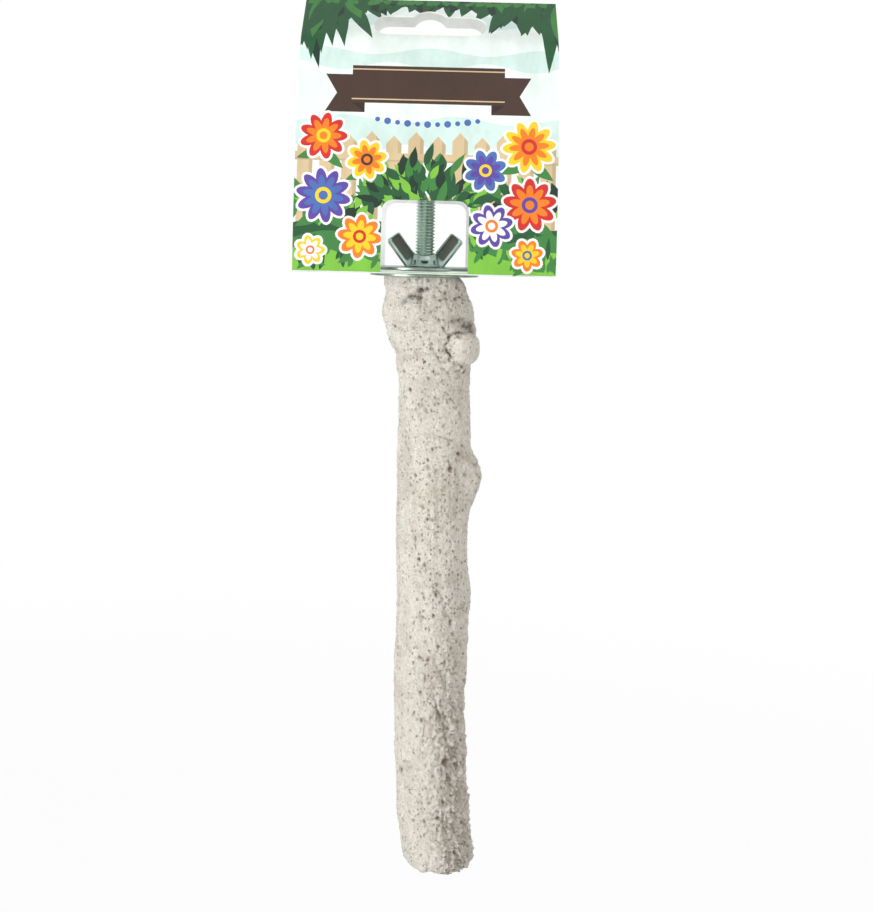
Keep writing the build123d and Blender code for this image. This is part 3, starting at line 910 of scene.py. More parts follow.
def pore_tree():
    """A geometry tree that sinks scattered round pores into a surface and marks them in an attribute, darker
    where deeper: partly painted shade.
    """
    inputs = [
        ("Geometry", "Geometry", None),
        ("Pore Density", "Float", 50000.0),
        ("Pore Radius", "Float", 0.0007),
        ("Pore Depth", "Float", 0.0006),
        ("Seed", "Int", 1),
        ("Material", "Material", None),
    ]
    nodes, given, end = form_tree("Pitted Stone", inputs)
    sown = {"Mesh": given["Geometry"], "Density": given["Pore Density"], "Seed": given["Seed"]}
    scatter = nodes.add("GeometryNodeDistributePointsOnFaces", sown)["Points"]
    spot = nodes.add("GeometryNodeInputPosition")[0]
    short = nodes.vector("MULTIPLY", spot, PORE_SQUEEZE)
    points = nodes.add("GeometryNodeSetPosition", {"Geometry": scatter, "Position": short})[0]
    wobble = PORE_WOBBLE * MM
    ragged = nodes.vector("MULTIPLY", nodes.noise(spot, 1500.0, 1.0)["Color"], (wobble, wobble, wobble))
    probe = nodes.vector("ADD", short, ragged)
    probe = nodes.vector("SUBTRACT", probe, (wobble / 2, wobble / 2, wobble / 2))
    sample = {0: points, "Sample Position": probe}
    gap = nodes.add("GeometryNodeProximity", sample, target_element="POINTS")["Distance"]
    nearest = nodes.add("GeometryNodeSampleNearest", sample, domain="POINT")[0]
    chance = nodes.add("FunctionNodeRandomValue", {"ID": nearest}, data_type="FLOAT")[1]
    size = nodes.times(nodes.calc("POWER", chance, PORE_RARITY), 1 - PORE_LEAST)
    size = nodes.plus(size, PORE_LEAST)
    # Smaller pores on the knob and, as painted light, on the lit left strip.
    size = nodes.times(size, nodes.remap(nodes.field("calm"), 0.0, 1.0, 1.0, CALM_PORES, False))
    radius = nodes.times(size, given["Pore Radius"])
    sunk = nodes.times(nodes.remap(gap, 0.0, radius, 1.0, 0.0), size)
    # Partly painted shade: the deeper a pore, the darker its mark.
    mark = nodes.calc("MAXIMUM", nodes.times(sunk, PORE_DARKNESS), nodes.field("pit"), True)
    kept = {"Geometry": given["Geometry"], "Name": "pore", "Value": mark}
    marked = nodes.add("GeometryNodeStoreNamedAttribute", kept, data_type="FLOAT", domain="POINT")[0]
    depth = nodes.times(nodes.times(sunk, given["Pore Depth"]), -1.0)
    inward = nodes.scaled(nodes.add("GeometryNodeInputNormal")[0], depth)
    moved = nodes.add("GeometryNodeSetPosition", {"Geometry": marked, "Offset": inward})[0]
    return close_tree(nodes, moved, given, end)


def thread_tree():
    """A geometry tree for a threaded rod: a grid rolled into a tube, with a helical ridge and chamfers."""
    inputs = [
        ("Crest Radius", "Float", 0.003),
        ("Thread Depth", "Float", 0.0005),
        ("Pitch", "Float", 0.001),
        ("Chamfer", "Float", 0.0006),
        ("Bottom", "Float", 0.0),
        ("Length", "Float", 0.05),
        ("Around", "Int", 65),
        ("Along", "Int", 600),
        ("Material", "Material", None),
    ]
    nodes, given, end = form_tree("Threaded Rod", inputs)
    sizes = {"Size X": 1.0, "Size Y": 1.0, "Vertices X": given["Around"], "Vertices Y": given["Along"]}
    grid = nodes.add("GeometryNodeMeshGrid", sizes)[0]
    spot = nodes.add("GeometryNodeInputPosition")[0]
    turn, across, _ = nodes.add("ShaderNodeSeparateXYZ", {0: spot})
    rows = nodes.minus(given["Along"], 1.0)
    row = nodes.calc("ROUND", nodes.times(nodes.plus(across, 0.5), rows))
    along = nodes.calc("DIVIDE", nodes.minus(row, 1.0), nodes.minus(rows, 2.0), True)
    rise = nodes.times(along, given["Length"])
    turns = nodes.minus(nodes.calc("DIVIDE", rise, given["Pitch"]), turn)
    flank = nodes.remap(nodes.calc("PINGPONG", turns, 0.5), *FLANK, 0.0, 1.0, False)
    radius = nodes.minus(given["Crest Radius"], nodes.times(flank, given["Thread Depth"]))
    to_end = nodes.calc("MINIMUM", rise, nodes.minus(given["Length"], rise))
    cone = nodes.plus(nodes.minus(given["Crest Radius"], given["Chamfer"]), to_end)
    radius = nodes.calc("MINIMUM", radius, cone)
    first = nodes.calc("GREATER_THAN", row, 0.5)
    last = nodes.calc("LESS_THAN", row, nodes.minus(rows, 0.5))
    radius = nodes.times(radius, nodes.times(first, last))
    angle = nodes.times(turn, 2 * math.pi)
    x, y = (nodes.times(radius, nodes.calc(wave, angle)) for wave in ("COSINE", "SINE"))
    place = nodes.add("ShaderNodeCombineXYZ", {0: x, 1: y, 2: nodes.plus(rise, given["Bottom"])})[0]
    rolled = nodes.add("GeometryNodeSetPosition", {"Geometry": grid, "Position": place})[0]
    closed = nodes.add("GeometryNodeMergeByDistance", {"Geometry": rolled, "Distance": 2e-6})[0]
    return close_tree(nodes, closed, given, end)


def rounded_rectangle(left, right, bottom, top, corner, steps=7):
    """Points of a rounded rectangle, anticlockwise."""
    points = []
    centres = [
        (right - corner, bottom + corner, -90),
        (right - corner, top - corner, 0),
        (left + corner, top - corner, 90),
        (left + corner, bottom + corner, 180),
    ]
    for cx, cy, start in centres:
        for i in range(steps):
            angle = math.radians(start + 90 * i / (steps - 1))
            points.append((cx + corner * math.cos(angle), cy + corner * math.sin(angle)))
    return points


def dent(angle, height):
    """How deep a point of the hub's side lies in a dent, from 0 to 1."""
    deep = 0.0
    for turn, level, half, tall in DENTS:
        for side in (-90, 90):
            off = abs((math.degrees(angle) - side - turn + 180) % 360 - 180) / half
            deep = max(deep, 1 - max(off, abs(height - level) / tall) ** 4)
    return deep


def hub_mesh(base):
    """Vertices, faces and recess mask of the wing nut's hub, saddle shaped on top and dented at its foot; the
    mask paints the dents, and dimly the whole hub, as painted shade.
    """
    vertices, faces, mask = [], [], []
    top = HUB_OUTSIDE[-1][1]
    rows = HUB_OUTSIDE + [HUB_HOLE]
    for i, (radius, height) in enumerate(rows):
        sway = SADDLE_DIP * max(0.0, (height - SADDLE_START) / (top - SADDLE_START))
        for j in range(HUB_POINTS):
            angle = 2 * math.pi * j / HUB_POINTS
            sunk = dent(angle, height) if radius > DENT_LEAST_RADIUS else 0.0
            r = (radius - DENT_DEPTH * sunk) * MM
            up = base + (height - sway * math.sin(angle) ** 2) * MM
            vertices.append((r * math.cos(angle), r * math.sin(angle), up))
            mask.append(max(HUB_DULL_SHADE, sunk))
        above = (i + 1) % len(rows) * HUB_POINTS
        faces += [(a, d, c, b) for a, b, c, d in band(i * HUB_POINTS, above, HUB_POINTS)]
    return vertices, faces, mask


def wing_mesh(side, base):
    """Vertices, faces and recess mask of one wing: a rounded paddle with a raised rim and sunk faces that the
    mask paints as painted shade.
    """
    loops = []
    for tuck, tip, low, high, half, mark in WING_STEPS:
        corner = max(WING_LEAST_CORNER, WING_CORNER - tip * 0.6)
        left, right = tuck - WING_TUCK, WING_LENGTH - tip
        outline = rounded_rectangle(left, right, -WING_WIDTH / 2 + low, WING_WIDTH / 2 - high, corner)
        loops.append((outline, half, mark))
    lean = math.radians(WING_ANGLE)
    c, s = math.cos(lean), math.sin(lean)
    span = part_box("wing_nut")[1][0] / MM
    root = span - max(u * c - v * s for u, v in loops[0][0])
    vertices, mask = [], []
    stack = loops[::-1] + [(outline, -half, mark) for outline, half, mark in loops]
    for outline, half, mark in stack:
        for u, v in outline:
            out = root + u * c - v * s
            up = WING_ROOT_UP + u * s + v * c
            vertices.append((side * out * MM, side * -half * MM, base + up * MM))
            mask.append(mark)
    count = len(loops[0][0])
    faces = [tuple(range(count))]
    for i in range(len(stack) - 1):
        faces += band(i * count, (i + 1) * count, count)
    faces.append(tuple(range(len(vertices) - 1, len(vertices) - count - 1, -1)))
    return vertices, faces, mask


def wing_nut_piece(material):
    """The wing nut: its hub and its two wings in one mesh."""
    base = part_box("wing_nut")[0][2]
    vertices, faces, mask = [], [], []
    for some_vertices, some_faces, some_mask in (hub_mesh(base), wing_mesh(1, base), wing_mesh(-1, base)):
        first = len(vertices)
        vertices += some_vertices
        faces += [tuple(first + i for i in face) for face in some_faces]
        mask += some_mask
    mesh = new_mesh("wing_nut_cast", vertices, faces, material, 42)
    store(mesh, "recess", mask)
    return place_mesh("wing_nut_cast", mesh)


def bend(before, corner, after, reach, steps=6):
    """Points of a soft bend that replaces a corner."""
    before, corner, after = (np.array(point) for point in (before, corner, after))
    start, end = (corner + (p - corner) / np.linalg.norm(p - corner) * reach for p in (before, after))
    shares = np.linspace(0, 1, steps + 1)
    return [(1 - t) ** 2 * start + 2 * t * (1 - t) * corner + t * t * end for t in shares]


def bow(start, middle, end, steps):
    """Points of the arc through three points, without its ends."""
    a, b, c = (np.array(point) for point in (start, middle, end))
    centre = np.linalg.solve(2 * np.array([b - a, c - a]), [b @ b - a @ a, c @ c - a @ a])
    (ax, ay), (cx, cy) = a - centre, c - centre
    first = math.atan2(ay, ax)
    swing = (math.atan2(cy, cx) - first + math.pi) % (2 * math.pi) - math.pi
    angles = first + swing * np.arange(1, steps) / steps
    return list(centre + math.hypot(ax, ay) * np.stack([np.cos(angles), np.sin(angles)], axis=1))


class CardStrip:
    """The card's centre line from one flap's end over the ridge to the other flap's end, in millimetres."""

    def __init__(self, fold):
        front_fold = (-FLOOR_HALF, FRONT_FLAP_Z)
        back_fold = (FLOOR_HALF, BACK_FLAP_Z)
        front = bow(front_fold, FRONT_BELLY, FRONT_CREASE, BOW_STEPS)
        back = bow(BACK_CREASE, BACK_BELLY, back_fold, BOW_STEPS)
        points = [np.array((FLAP_REACH, FRONT_FLAP_Z))]
        marks = {}
        corners = [
            ("front_fold", points[-1], front_fold, front[0], fold, front),
            ("front_crease", front[-1], FRONT_CREASE, RIDGE, CREASE_REACH, []),
            ("ridge", FRONT_CREASE, RIDGE, BACK_CREASE, fold, []),
            ("back_crease", RIDGE, BACK_CREASE, back[0], CREASE_REACH, back),
            ("back_fold", back[-1], back_fold, (-FLAP_REACH, BACK_FLAP_Z), fold, []),
        ]
        for name, before, corner, after, reach, run in corners:
            soft = bend(before, corner, after, reach)
            marks[name] = len(points) + len(soft) // 2
            points += soft + run
        points.append(np.array((-FLAP_REACH, BACK_FLAP_Z)))
        self.points = np.array(points)
        steps = np.linalg.norm(np.diff(self.points, axis=0), axis=1)
        self.reach = np.concatenate([[0], np.cumsum(steps)])
        self.marks = {name: self.reach[i] for name, i in marks.items()}
        self.length = self.reach[-1]
        ways = np.diff(self.points, axis=0) / steps[:, None]
        mean = np.concatenate([ways[:1], ways[:-1] + ways[1:], ways[-1:]])
        self.ways = mean / np.linalg.norm(mean, axis=1)[:, None]

    def at_height(self, z, first, last):
        """Distance along the strip where it passes a height, between two distances."""
        held = (self.reach >= first) & (self.reach <= last)
        order = np.argsort(self.points[held][:, 1])
        return float(np.interp(z, self.points[held][order, 1], self.reach[held][order]))

    def place(self, x, s, out):
        """Position in metres of a point across and along the strip, at a height over its centre line."""
        columns = [self.points[:, 0], self.points[:, 1], self.ways[:, 0], self.ways[:, 1]]
        y, z, wy, wz = (np.interp(s, self.reach, column) for column in columns)
        size = np.hypot(wy, wz)
        return np.stack([x, y - out * wz / size, z + out * wy / size], axis=1) * MM


def turned(x, y, cx, cy, turn):
    """A point turned by degrees about the origin, then moved."""
    c, s = math.cos(math.radians(turn)), math.sin(math.radians(turn))
    return cx + c * x - s * y, cy + s * x + c * y


def oval(cx, cy, rx, ry, turn=0.0, steps=20):
    """Points of a turned ellipse."""
    angles = [2 * math.pi * i / steps for i in range(steps)]
    return [turned(rx * math.cos(a), ry * math.sin(a), cx, cy, turn) for a in angles]


def leaf(cx, cy, size, width, turn, steps=7):
    """Points of a pointed leaf that grows from a point in the direction of turn."""
    out = [i / steps for i in range(steps)]
    points = []
    for side, shares in ((1, out), (-1, [1 - share for share in out])):
        for share in shares:
            y = side * width / 2 * math.sin(math.pi * share**0.8)
            points.append(turned(size * share, y, cx, cy, turn))
    return points


def block(left, right, low, high):
    """Corners of a rectangle."""
    return [(left, low), (right, low), (right, high), (left, high)]


def hill(low, level, height, run, start, steps=40):
    """Outline of a meadow as wide as the print, from a floor line up to a wavy top."""
    outline = [(-PRINT_HALF, low), (PRINT_HALF, low)]
    for i in range(steps + 1):
        x = PRINT_HALF - 2 * PRINT_HALF * i / steps
        outline.append((x, level + height * math.sin((x - start) / run * 2 * math.pi)))
    return outline


def inside(px, py, outline):
    """Which points lie inside an outline."""
    held = np.zeros(px.shape, dtype=bool)
    for (x0, y0), (x1, y1) in zip(outline, outline[1:] + outline[:1]):
        if y0 == y1:
            continue
        cross = (y0 > py) != (y1 > py)
        held ^= cross & (px < x0 + (py - y0) * (x1 - x0) / (y1 - y0))
    return held


class Print:
    """A print of flat shapes from back to front, on x across and v up from a fold."""

    def __init__(self):
        self.shapes = []

    def lay(self, ink, outline):
        """Adds one shape over the others."""
        self.shapes.append((outline, ink))

    def flower(self, x, y, radius, petals, inks, turn):
        """A round flower with a pale edge, two rings of petals and a beaded middle."""
        outer, inner, middle = inks
        rings = [("paper", 0.56, 0.44, 0.66, 0.75), (outer, 0.56, 0.44, 0.66, 0), (inner, 0.42, 0.33, 0.4, 0)]
        for ink, reach, long, wide, edge in rings:
            broad = radius * math.sin(math.pi / petals) * wide + edge
            for i in range(petals):
                angle = turn + 360 * i / petals
                cx, cy = turned(radius * reach, 0, x, y, angle)
                self.lay(ink, oval(cx, cy, radius * long + edge, broad, angle, 16))
        self.lay(middle, oval(x, y, radius * 0.30, radius * 0.30))
        self.lay(inner, oval(x, y, radius * 0.17, radius * 0.17, 0, 14))


def fence(art):
    """A picket fence with two rails."""
    for i in range(12):
        x = -36.3 + 6.6 * i
        top = 41 + 1.2 * (i % 2)
        left, right, foot, neck = x - 2.3, x + 2.3, 12, top - 2.6
        art.lay("wood", [(left, foot), (right, foot), (right, neck), (x, top), (left, neck)])
        art.lay("timber", [(x + 1.2, foot), (right, foot), (right, neck), (x + 1.2, top - 1.3)])
    for level in (20.0, 33.0):
        art.lay("wood", block(-PRINT_HALF, PRINT_HALF, level, level + 2.6))
        art.lay("timber", block(-PRINT_HALF, PRINT_HALF, level, level + 0.6))


def canopy(art, ridge, dice):
    """Leaves that hang from the ridge, longer at the sides, and the dark leaves over it."""
    greens = ["night", "forest", "forest", "leaf"]
    for row in range(4):
        for i in range(30):
            x = -PRINT_HALF + 2.75 * i + dice.uniform(-1.0, 1.0)
            wide = max(0.0, abs(x) / PRINT_HALF - 0.40)
            size = (7.5 + 42 * wide) * dice.uniform(0.7, 1.15) - 2.5 * row
            turn = -90 + dice.uniform(-34, 34) * (1 - wide)
            ink = greens[(row + i) % 3 + row // 3]
            art.lay(ink, leaf(x, ridge + 1.5, size + 3, 4.2 + 3 * wide, turn))
    art.lay("forest", block(-PRINT_HALF, PRINT_HALF, ridge - 2.6, ridge + PRINT_OVER))
    for i in range(26):
        x = -PRINT_HALF + 3.1 * i
        art.lay("forest", leaf(x, ridge + 13, 9.5, 4.0, 90 + dice.uniform(-30, 30)))
        art.lay("leaf", leaf(x + 1.4, ridge - 3.2, 6.4, 3.0, 80 + dice.uniform(-50, 50)))
        art.lay("night", leaf(x, ridge - 1.0, 6.0, 2.6, 95 + dice.uniform(-60, 60)))


def ribbon(art):
    """A bare ribbon with folded tails, and a row of beads under it."""
    low, high, reach = RIBBON
    for side in (-1, 1):
        tuck, tip = side * (reach - 4), side * (reach + 8)
        notch = (side * (reach + 4.5), (low + high) / 2 - 3)
        art.lay("bark", [(tuck, low - 3), (tip, low - 3), notch, (tip, high - 3), (tuck, high - 3)])
        art.lay("soil", [(tuck, low - 3), (side * reach, low), (tuck, low)])
    art.lay("bark", block(-reach, reach, low, high))
    for level in (low + 1.0, high - 1.4):
        art.lay("wood", block(-reach, reach, level, level + 0.4))
    for i in range(11):
        x = 3.0 * (i - 5)
        bead = 0.75 + 0.3 * (i % 2)
        art.lay("blue", oval(x, 44.6 + 0.006 * x * x, bead, bead, 0, 14))


def bush(art, dice):
    """A hedge of scattered leaves, with a round bush in its middle."""
    art.lay("forest", hill(0.6, 15.5, 2.0, 41, 6))
    for _ in range(120):
        x = dice.uniform(-PRINT_HALF, PRINT_HALF)
        y = 10 + 10 * dice.random() + (7 * dice.random() if abs(x) < 15 else 3)
        ink = dice.choice(["night", "forest", "leaf", "leaf", "lime"])
        art.lay(ink, leaf(x, y, dice.uniform(5, 10), dice.uniform(1.8, 3.2), dice.uniform(35, 145)))
    for i in range(110):
        x = dice.uniform(-15, 15)
        y = 20 + 12 * dice.random() * (1 - (x / 17) ** 2)
        ink = ["night", "forest", "leaf", "forest", "lime"][i % 5 if i > 50 else i % 3]
        turn = 90 - 4 * x + dice.uniform(-35, 35)
        art.lay(ink, leaf(x, y, dice.uniform(4.5, 8), dice.uniform(2.0, 3.0), turn))


def grass(art, dice, inks, levels, sizes, width, turns):
    """Scattered leaves of one width: inks to choose from, and ranges of height, size and turn."""
    for _ in range(90):
        x = dice.uniform(-PRINT_HALF, PRINT_HALF)
        ink = dice.choice(inks)
        art.lay(ink, leaf(x, dice.uniform(*levels), dice.uniform(*sizes), width, dice.uniform(*turns)))


def front_print(ridge, dice):
    """Shapes of the front's print: ground, fence, canopy, ribbon, bush, meadow and flowers."""
    art = Print()
    art.lay("ground", block(-PRINT_HALF, PRINT_HALF, 0.1, ridge + PRINT_OVER))
    for low, high in ((34, 46), (60, 68), (76, 84)):
        art.lay("mist", hill(low, high, 1.2, 34, low))
        art.lay("ground", hill(low - 3, low + 3, 1.4, 29, high))
    fence(art)
    canopy(art, ridge, dice)
    ribbon(art)
    bush(art, dice)
    art.lay("leaf", hill(0.1, 10.5, 1.6, 33, -4))
    art.lay("lime", hill(0.1, 5.6, 1.4, 23, 9))
    grass(art, dice, ["leaf", "lime", "forest", "leaf"], (0.2, 7), (3, 7), 1.5, (55, 125))
    for i, (x, y, radius, petals, *inks) in enumerate(FLOWERS):
        for side in (-150, -30):
            turn = side - 12 + 5 * i % 24
            art.lay("leaf", leaf(x, y - radius * 0.6, radius * 1.15, radius * 0.42, turn))
        art.flower(x, y, radius, petals, inks, 13 * i)
    return art.shapes


def back_print(high, dice):
    """Shapes of the back's plainer print: ground, an empty frame, canopy, meadow and flowers."""
    art = Print()
    art.lay("ground", block(-PRINT_HALF, PRINT_HALF, 0.6, high))
    for low in (36, 56, 74):
        art.lay("mist", hill(low, low + 9, 1.4, 31, low))
        art.lay("ground", hill(low - 3, low + 2, 1.2, 27, -low))
    art.lay("wood", rounded_rectangle(-27, 27, 38, 66, 3.0, 6))
    art.lay("paper", rounded_rectangle(-25.8, 25.8, 39.2, 64.8, 2.2, 6))
    for row in range(2):
        for i in range(30):
            x = -PRINT_HALF + 2.75 * i + dice.uniform(-1.0, 1.0)
            ink = ["night", "forest", "leaf"][(i + row) % 3]
            art.lay(ink, leaf(x, high + 1, dice.uniform(6, 12), 4.0, -90 + dice.uniform(-34, 34)))
    art.lay("forest", hill(0.6, 19, 2.0, 37, 12))
    grass(art, dice, ["night", "forest", "leaf", "lime"], (13, 21), (5, 10), 2.6, (35, 145))
    art.lay("leaf", hill(0.6, 11.5, 1.6, 29, 2))
    art.lay("lime", hill(0.6, 6.0, 1.4, 21, 5))
    for i, (x, y, ink) in enumerate(BACK_FLOWERS):
        art.flower(x, y, 6.0, 8, (ink, "paper", "blue" if ink == "orange" else "orange"), 20 * i)
    return art.shapes


def slot_points(sign, top):
    """The hang slot's outline: its straight edge at a distance along the strip, its bump on the far side."""
    radius = (SLOT_BUMP_HALF**2 + SLOT_BUMP_RISE**2) / (2 * SLOT_BUMP_RISE)
    half_angle = math.asin(SLOT_BUMP_HALF / radius)
    half = SLOT_LENGTH / 2
    outline = rounded_rectangle(-half, half, -SLOT_HEIGHT, 0.0, SLOT_END_ROUND, SLOT_STEPS)
    bump = []
    for i in range(BUMP_STEPS + 1):
        angle = half_angle * (1 - 2 * i / BUMP_STEPS)
        bump.append((radius * math.sin(angle), SLOT_BUMP_RISE - radius + radius * math.cos(angle)))
    outline = outline[: 2 * SLOT_STEPS] + bump + outline[2 * SLOT_STEPS :]
    return [(x, top + sign * y) for x, y in outline]


def card_cuts(strip):
    """Outlines of everything that is cut out of the strip, on x across and the distance along it."""
    marks = strip.marks
    half = WINDOW_WIDTH / 2
    cuts = []
    for first, last, sill, sign in (
        ("front_fold", "front_crease", FRONT_SILL, 1),
        ("back_crease", "back_fold", BACK_SILL, -1),
    ):
        low, high = (strip.at_height(z, marks[first], marks[last]) for z in (sill, WINDOW_TOP))
        arch = rounded_rectangle(-half, half, 0.0, abs(high - low), WINDOW_CORNER, ARCH_STEPS)
        outline = [(-half, 0.0), (half, 0.0)] + arch[ARCH_STEPS : 3 * ARCH_STEPS]
        cuts.append([(x, low + sign * v) for x, v in outline])
    for sign in (1, -1):
        cuts.append(slot_points(sign, marks["ridge"] - sign * SLOT_FROM_RIDGE))
    for middle in (FLAP_REACH, strip.length - FLAP_REACH):
        cuts.append(oval(0.0, middle, STUD_HOLE, STUD_HOLE, 0, HOLE_STEPS))
    return cuts


def tidy_loop(outline):
    """An outline without repeated points."""
    kept = []
    for point in outline:
        if not kept or math.dist(point, kept[-1]) > SAME_POINT:
            kept.append(point)
    if math.dist(kept[0], kept[-1]) <= SAME_POINT:
        kept.pop()
    return kept


def cut_sheet(strip, half, cuts, shapes):
    """Flat points, triangles and their middles: the strip split along its cuts, its print and its bends."""
    points, edges = [], []
    for outline in [block(-half, half, 0.0, strip.length)] + cuts + [outline for outline, _ in shapes]:
        loop = tidy_loop(outline)
        first = len(points)
        points += [Vector(p) for p in loop]
        edges += [(first + i, first + (i + 1) % len(loop)) for i in range(len(loop))]
    for s in strip.reach[1:-1]:
        edges.append((len(points), len(points) + 1))
        points += [Vector((-half, s)), Vector((half, s))]
    flat, _, triangles, _, _, _ = delaunay_2d_cdt(points, edges, [], 0, CUT_TOLERANCE, False)
    flat = np.array([tuple(p) for p in flat])
    triangles = np.array([tuple(t) for t in triangles])
    middle = flat[triangles].mean(axis=1)
    mx, ms = middle[:, 0], middle[:, 1]
    a, b, c = (flat[triangles[:, i]] for i in range(3))
    area = (b[:, 0] - a[:, 0]) * (c[:, 1] - a[:, 1]) - (c[:, 0] - a[:, 0]) * (b[:, 1] - a[:, 1])
    kept = (np.abs(mx) < half) & (ms > 0) & (ms < strip.length) & (np.abs(area) > LEAST_AREA)
    for cut in cuts:
        kept &= ~inside(mx, ms, cut)
    used, triangles = np.unique(triangles[kept], return_inverse=True)
    return flat[used], triangles.reshape(-1, 3), middle[kept]


def paint_sheet(middles, shapes, settings):
    """Colours of the sheet's triangles, each from the last shape that it lies in, and the paper's colour."""
    inks = {}
    for name in PerchCardSettings.__annotations__:
        if name not in ("thickness", "fold", "seed"):
            inks[name] = np.array(getattr(settings, name))
    inks["timber"] = inks["wood"] * TIMBER_SHADE
    paint = np.tile(inks["paper"], (len(middles), 1))
    for outline, ink in shapes:
        corners = np.array(outline)
        near = (middles > corners.min(axis=0)) & (middles < corners.max(axis=0))
        picked = np.flatnonzero(near.all(axis=1))
        picked = picked[inside(middles[picked, 0], middles[picked, 1], outline)]
        paint[picked] = inks[ink]
    return paint, inks["paper"]


def card_piece(settings, material):
    """The folded card: its print is cut into triangles on the flat strip, then folded and given thickness."""
    strip = CardStrip(settings.fold / MM)
    dice = random.Random(settings.seed)
    marks = strip.marks
    low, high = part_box("header_card")
    half = (high[0] - low[0]) / 2 / MM
    shapes = []
    for outline, ink in front_print(marks["ridge"] - marks["front_fold"], dice):
        shapes.append(([(x, marks["front_fold"] + v) for x, v in outline], ink))
    for outline, ink in back_print(marks["back_fold"] - marks["ridge"] - BACK_PRINT_GAP, dice):
        shapes.append(([(x, marks["back_fold"] - v) for x, v in outline], ink))
    flat, triangles, middles = cut_sheet(strip, half, card_cuts(strip), shapes)
    paint, paper = paint_sheet(middles, shapes, settings)
    thick = settings.thickness / MM / 2
    outer, inner = (strip.place(flat[:, 0], flat[:, 1], out) for out in (thick, -thick))
    count = len(flat)
    faces = [tuple(t) for t in triangles] + [(t[2] + count, t[1] + count, t[0] + count) for t in triangles]
    rims = set()
    for t in triangles.tolist():
        for rim in zip(t, t[1:] + t[:1]):
            if rim[::-1] in rims:
                rims.remove(rim[::-1])
            else:
                rims.add(rim)
    faces += [(p, p + count, q + count, q) for p, q in sorted(rims)]
    mesh = new_mesh("printed_header", np.concatenate([outer, inner]), faces, material, 35)
    bare = np.tile(paper, (len(faces) - len(paint), 1))
    sizes = [len(face) for face in faces]
    colours = np.repeat(np.concatenate([paint, bare]), sizes, axis=0)
    held = mesh.color_attributes.new("print", "FLOAT_COLOR", "CORNER")
    held.data.foreach_set("color", colours.astype(np.float32).ravel())
    return place_mesh("printed_header", mesh)


class PERCH_OT_branch(bpy.types.Operator):
    """Make the cast branch with its relief and pores"""

    bl_idname = "perch.branch"
    bl_label = "Branch"

    def execute(self, context):
        settings = context.scene.perch_branch
        material = stone_material(settings)
        inputs = {
            "Pore Density": settings.pore_density,
            "Pore Radius": settings.pore_radius,
            "Pore Depth": settings.pore_depth,
            "Seed": settings.seed,
            "Material": material,
        }
        piece = run_tree("cast_branch", pore_tree(), inputs, 180, branch_mesh(settings, material))
        dress(piece, "perch", "perch_branch")
        return {"FINISHED"}


class PERCH_OT_stud(bpy.types.Operator):
    """Make the threaded stud"""

    bl_idname = "perch.stud"
    bl_label = "Stud"

    def execute(self, context):
        settings = context.scene.perch_hardware
        low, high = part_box("threaded_stud")
        # Patches stretched along the stud: painted reflection streaks.
        along = (1.0, 1.0, 0.05)
        material = zinc_material("threaded_steel", settings.thread, settings.thread_shade, 560.0, along)
        inputs = {
            "Crest Radius": (high[0] - low[0]) / 2,
            "Thread Depth": settings.thread_depth,
            "Pitch": settings.pitch,
            "Chamfer": settings.chamfer,
            "Bottom": low[2],
            "Length": high[2] - low[2],
            "Around": settings.around,
            "Along": settings.along,
            "Material": material,
        }
        piece = run_tree("thread_rod", thread_tree(), inputs, 60)
        dress(piece, "perch", "threaded_stud")
        return {"FINISHED"}


class PERCH_OT_washers(bpy.types.Operator):
    """Finish the two washers and the anchor nut in plated steel"""

    bl_idname = "perch.washers"
    bl_label = "Washers"

    def execute(self, context):
        settings = context.scene.perch_hardware
        material = zinc_material("plated_steel", settings.zinc, settings.tarnish)
        for name in ("lower_washer", "upper_washer", "anchor_nut"):
            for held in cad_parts[name].material_slots:
                held.material = material
        return {"FINISHED"}


class PERCH_OT_wing_nut(bpy.types.Operator):
    """Make the wing nut"""

    bl_idname = "perch.wing_nut"
    bl_label = "Wing Nut"

    def execute(self, context):
        piece = wing_nut_piece(bright_material(context.scene.perch_hardware))
        dress(piece, "nut", "wing_nut")
        return {"FINISHED"}


class PERCH_OT_card(bpy.types.Operator):
    """Make the printed and folded header card"""

    bl_idname = "perch.card"
    bl_label = "Header Card"

    def execute(self, context):
        piece = card_piece(context.scene.perch_card, card_material())
        dress(piece, "card", "header_card")
        return {"FINISHED"}


def light_only(nodes, shown, lit):
    """A shader socket that is one shader for camera, glossy and transmission rays and another for light."""
    path = nodes.add("ShaderNodeLightPath")
    seen = nodes.calc("MAXIMUM", path["Is Camera Ray"], path["Is Glossy Ray"])
    seen = nodes.calc("MAXIMUM", seen, path["Is Transmission Ray"])
    return nodes.add("ShaderNodeMixShader", {0: seen, 1: lit, 2: shown})[0]


def white_world(sky):
    """A world that is white to look at and lights the object evenly."""
    world = bpy.data.worlds.new("studio")
    nodes = empty_nodes(world)
    white = (1.0, 1.0, 1.0, 1.0)
    shown = nodes.add("ShaderNodeBackground", {"Color": white, "Strength": 1.0})[0]
    lit = nodes.add("ShaderNodeBackground", {"Color": white, "Strength": sky})[0]
    nodes.add("ShaderNodeOutputWorld", {0: light_only(nodes, shown, lit)})
    bpy.context.scene.world = world


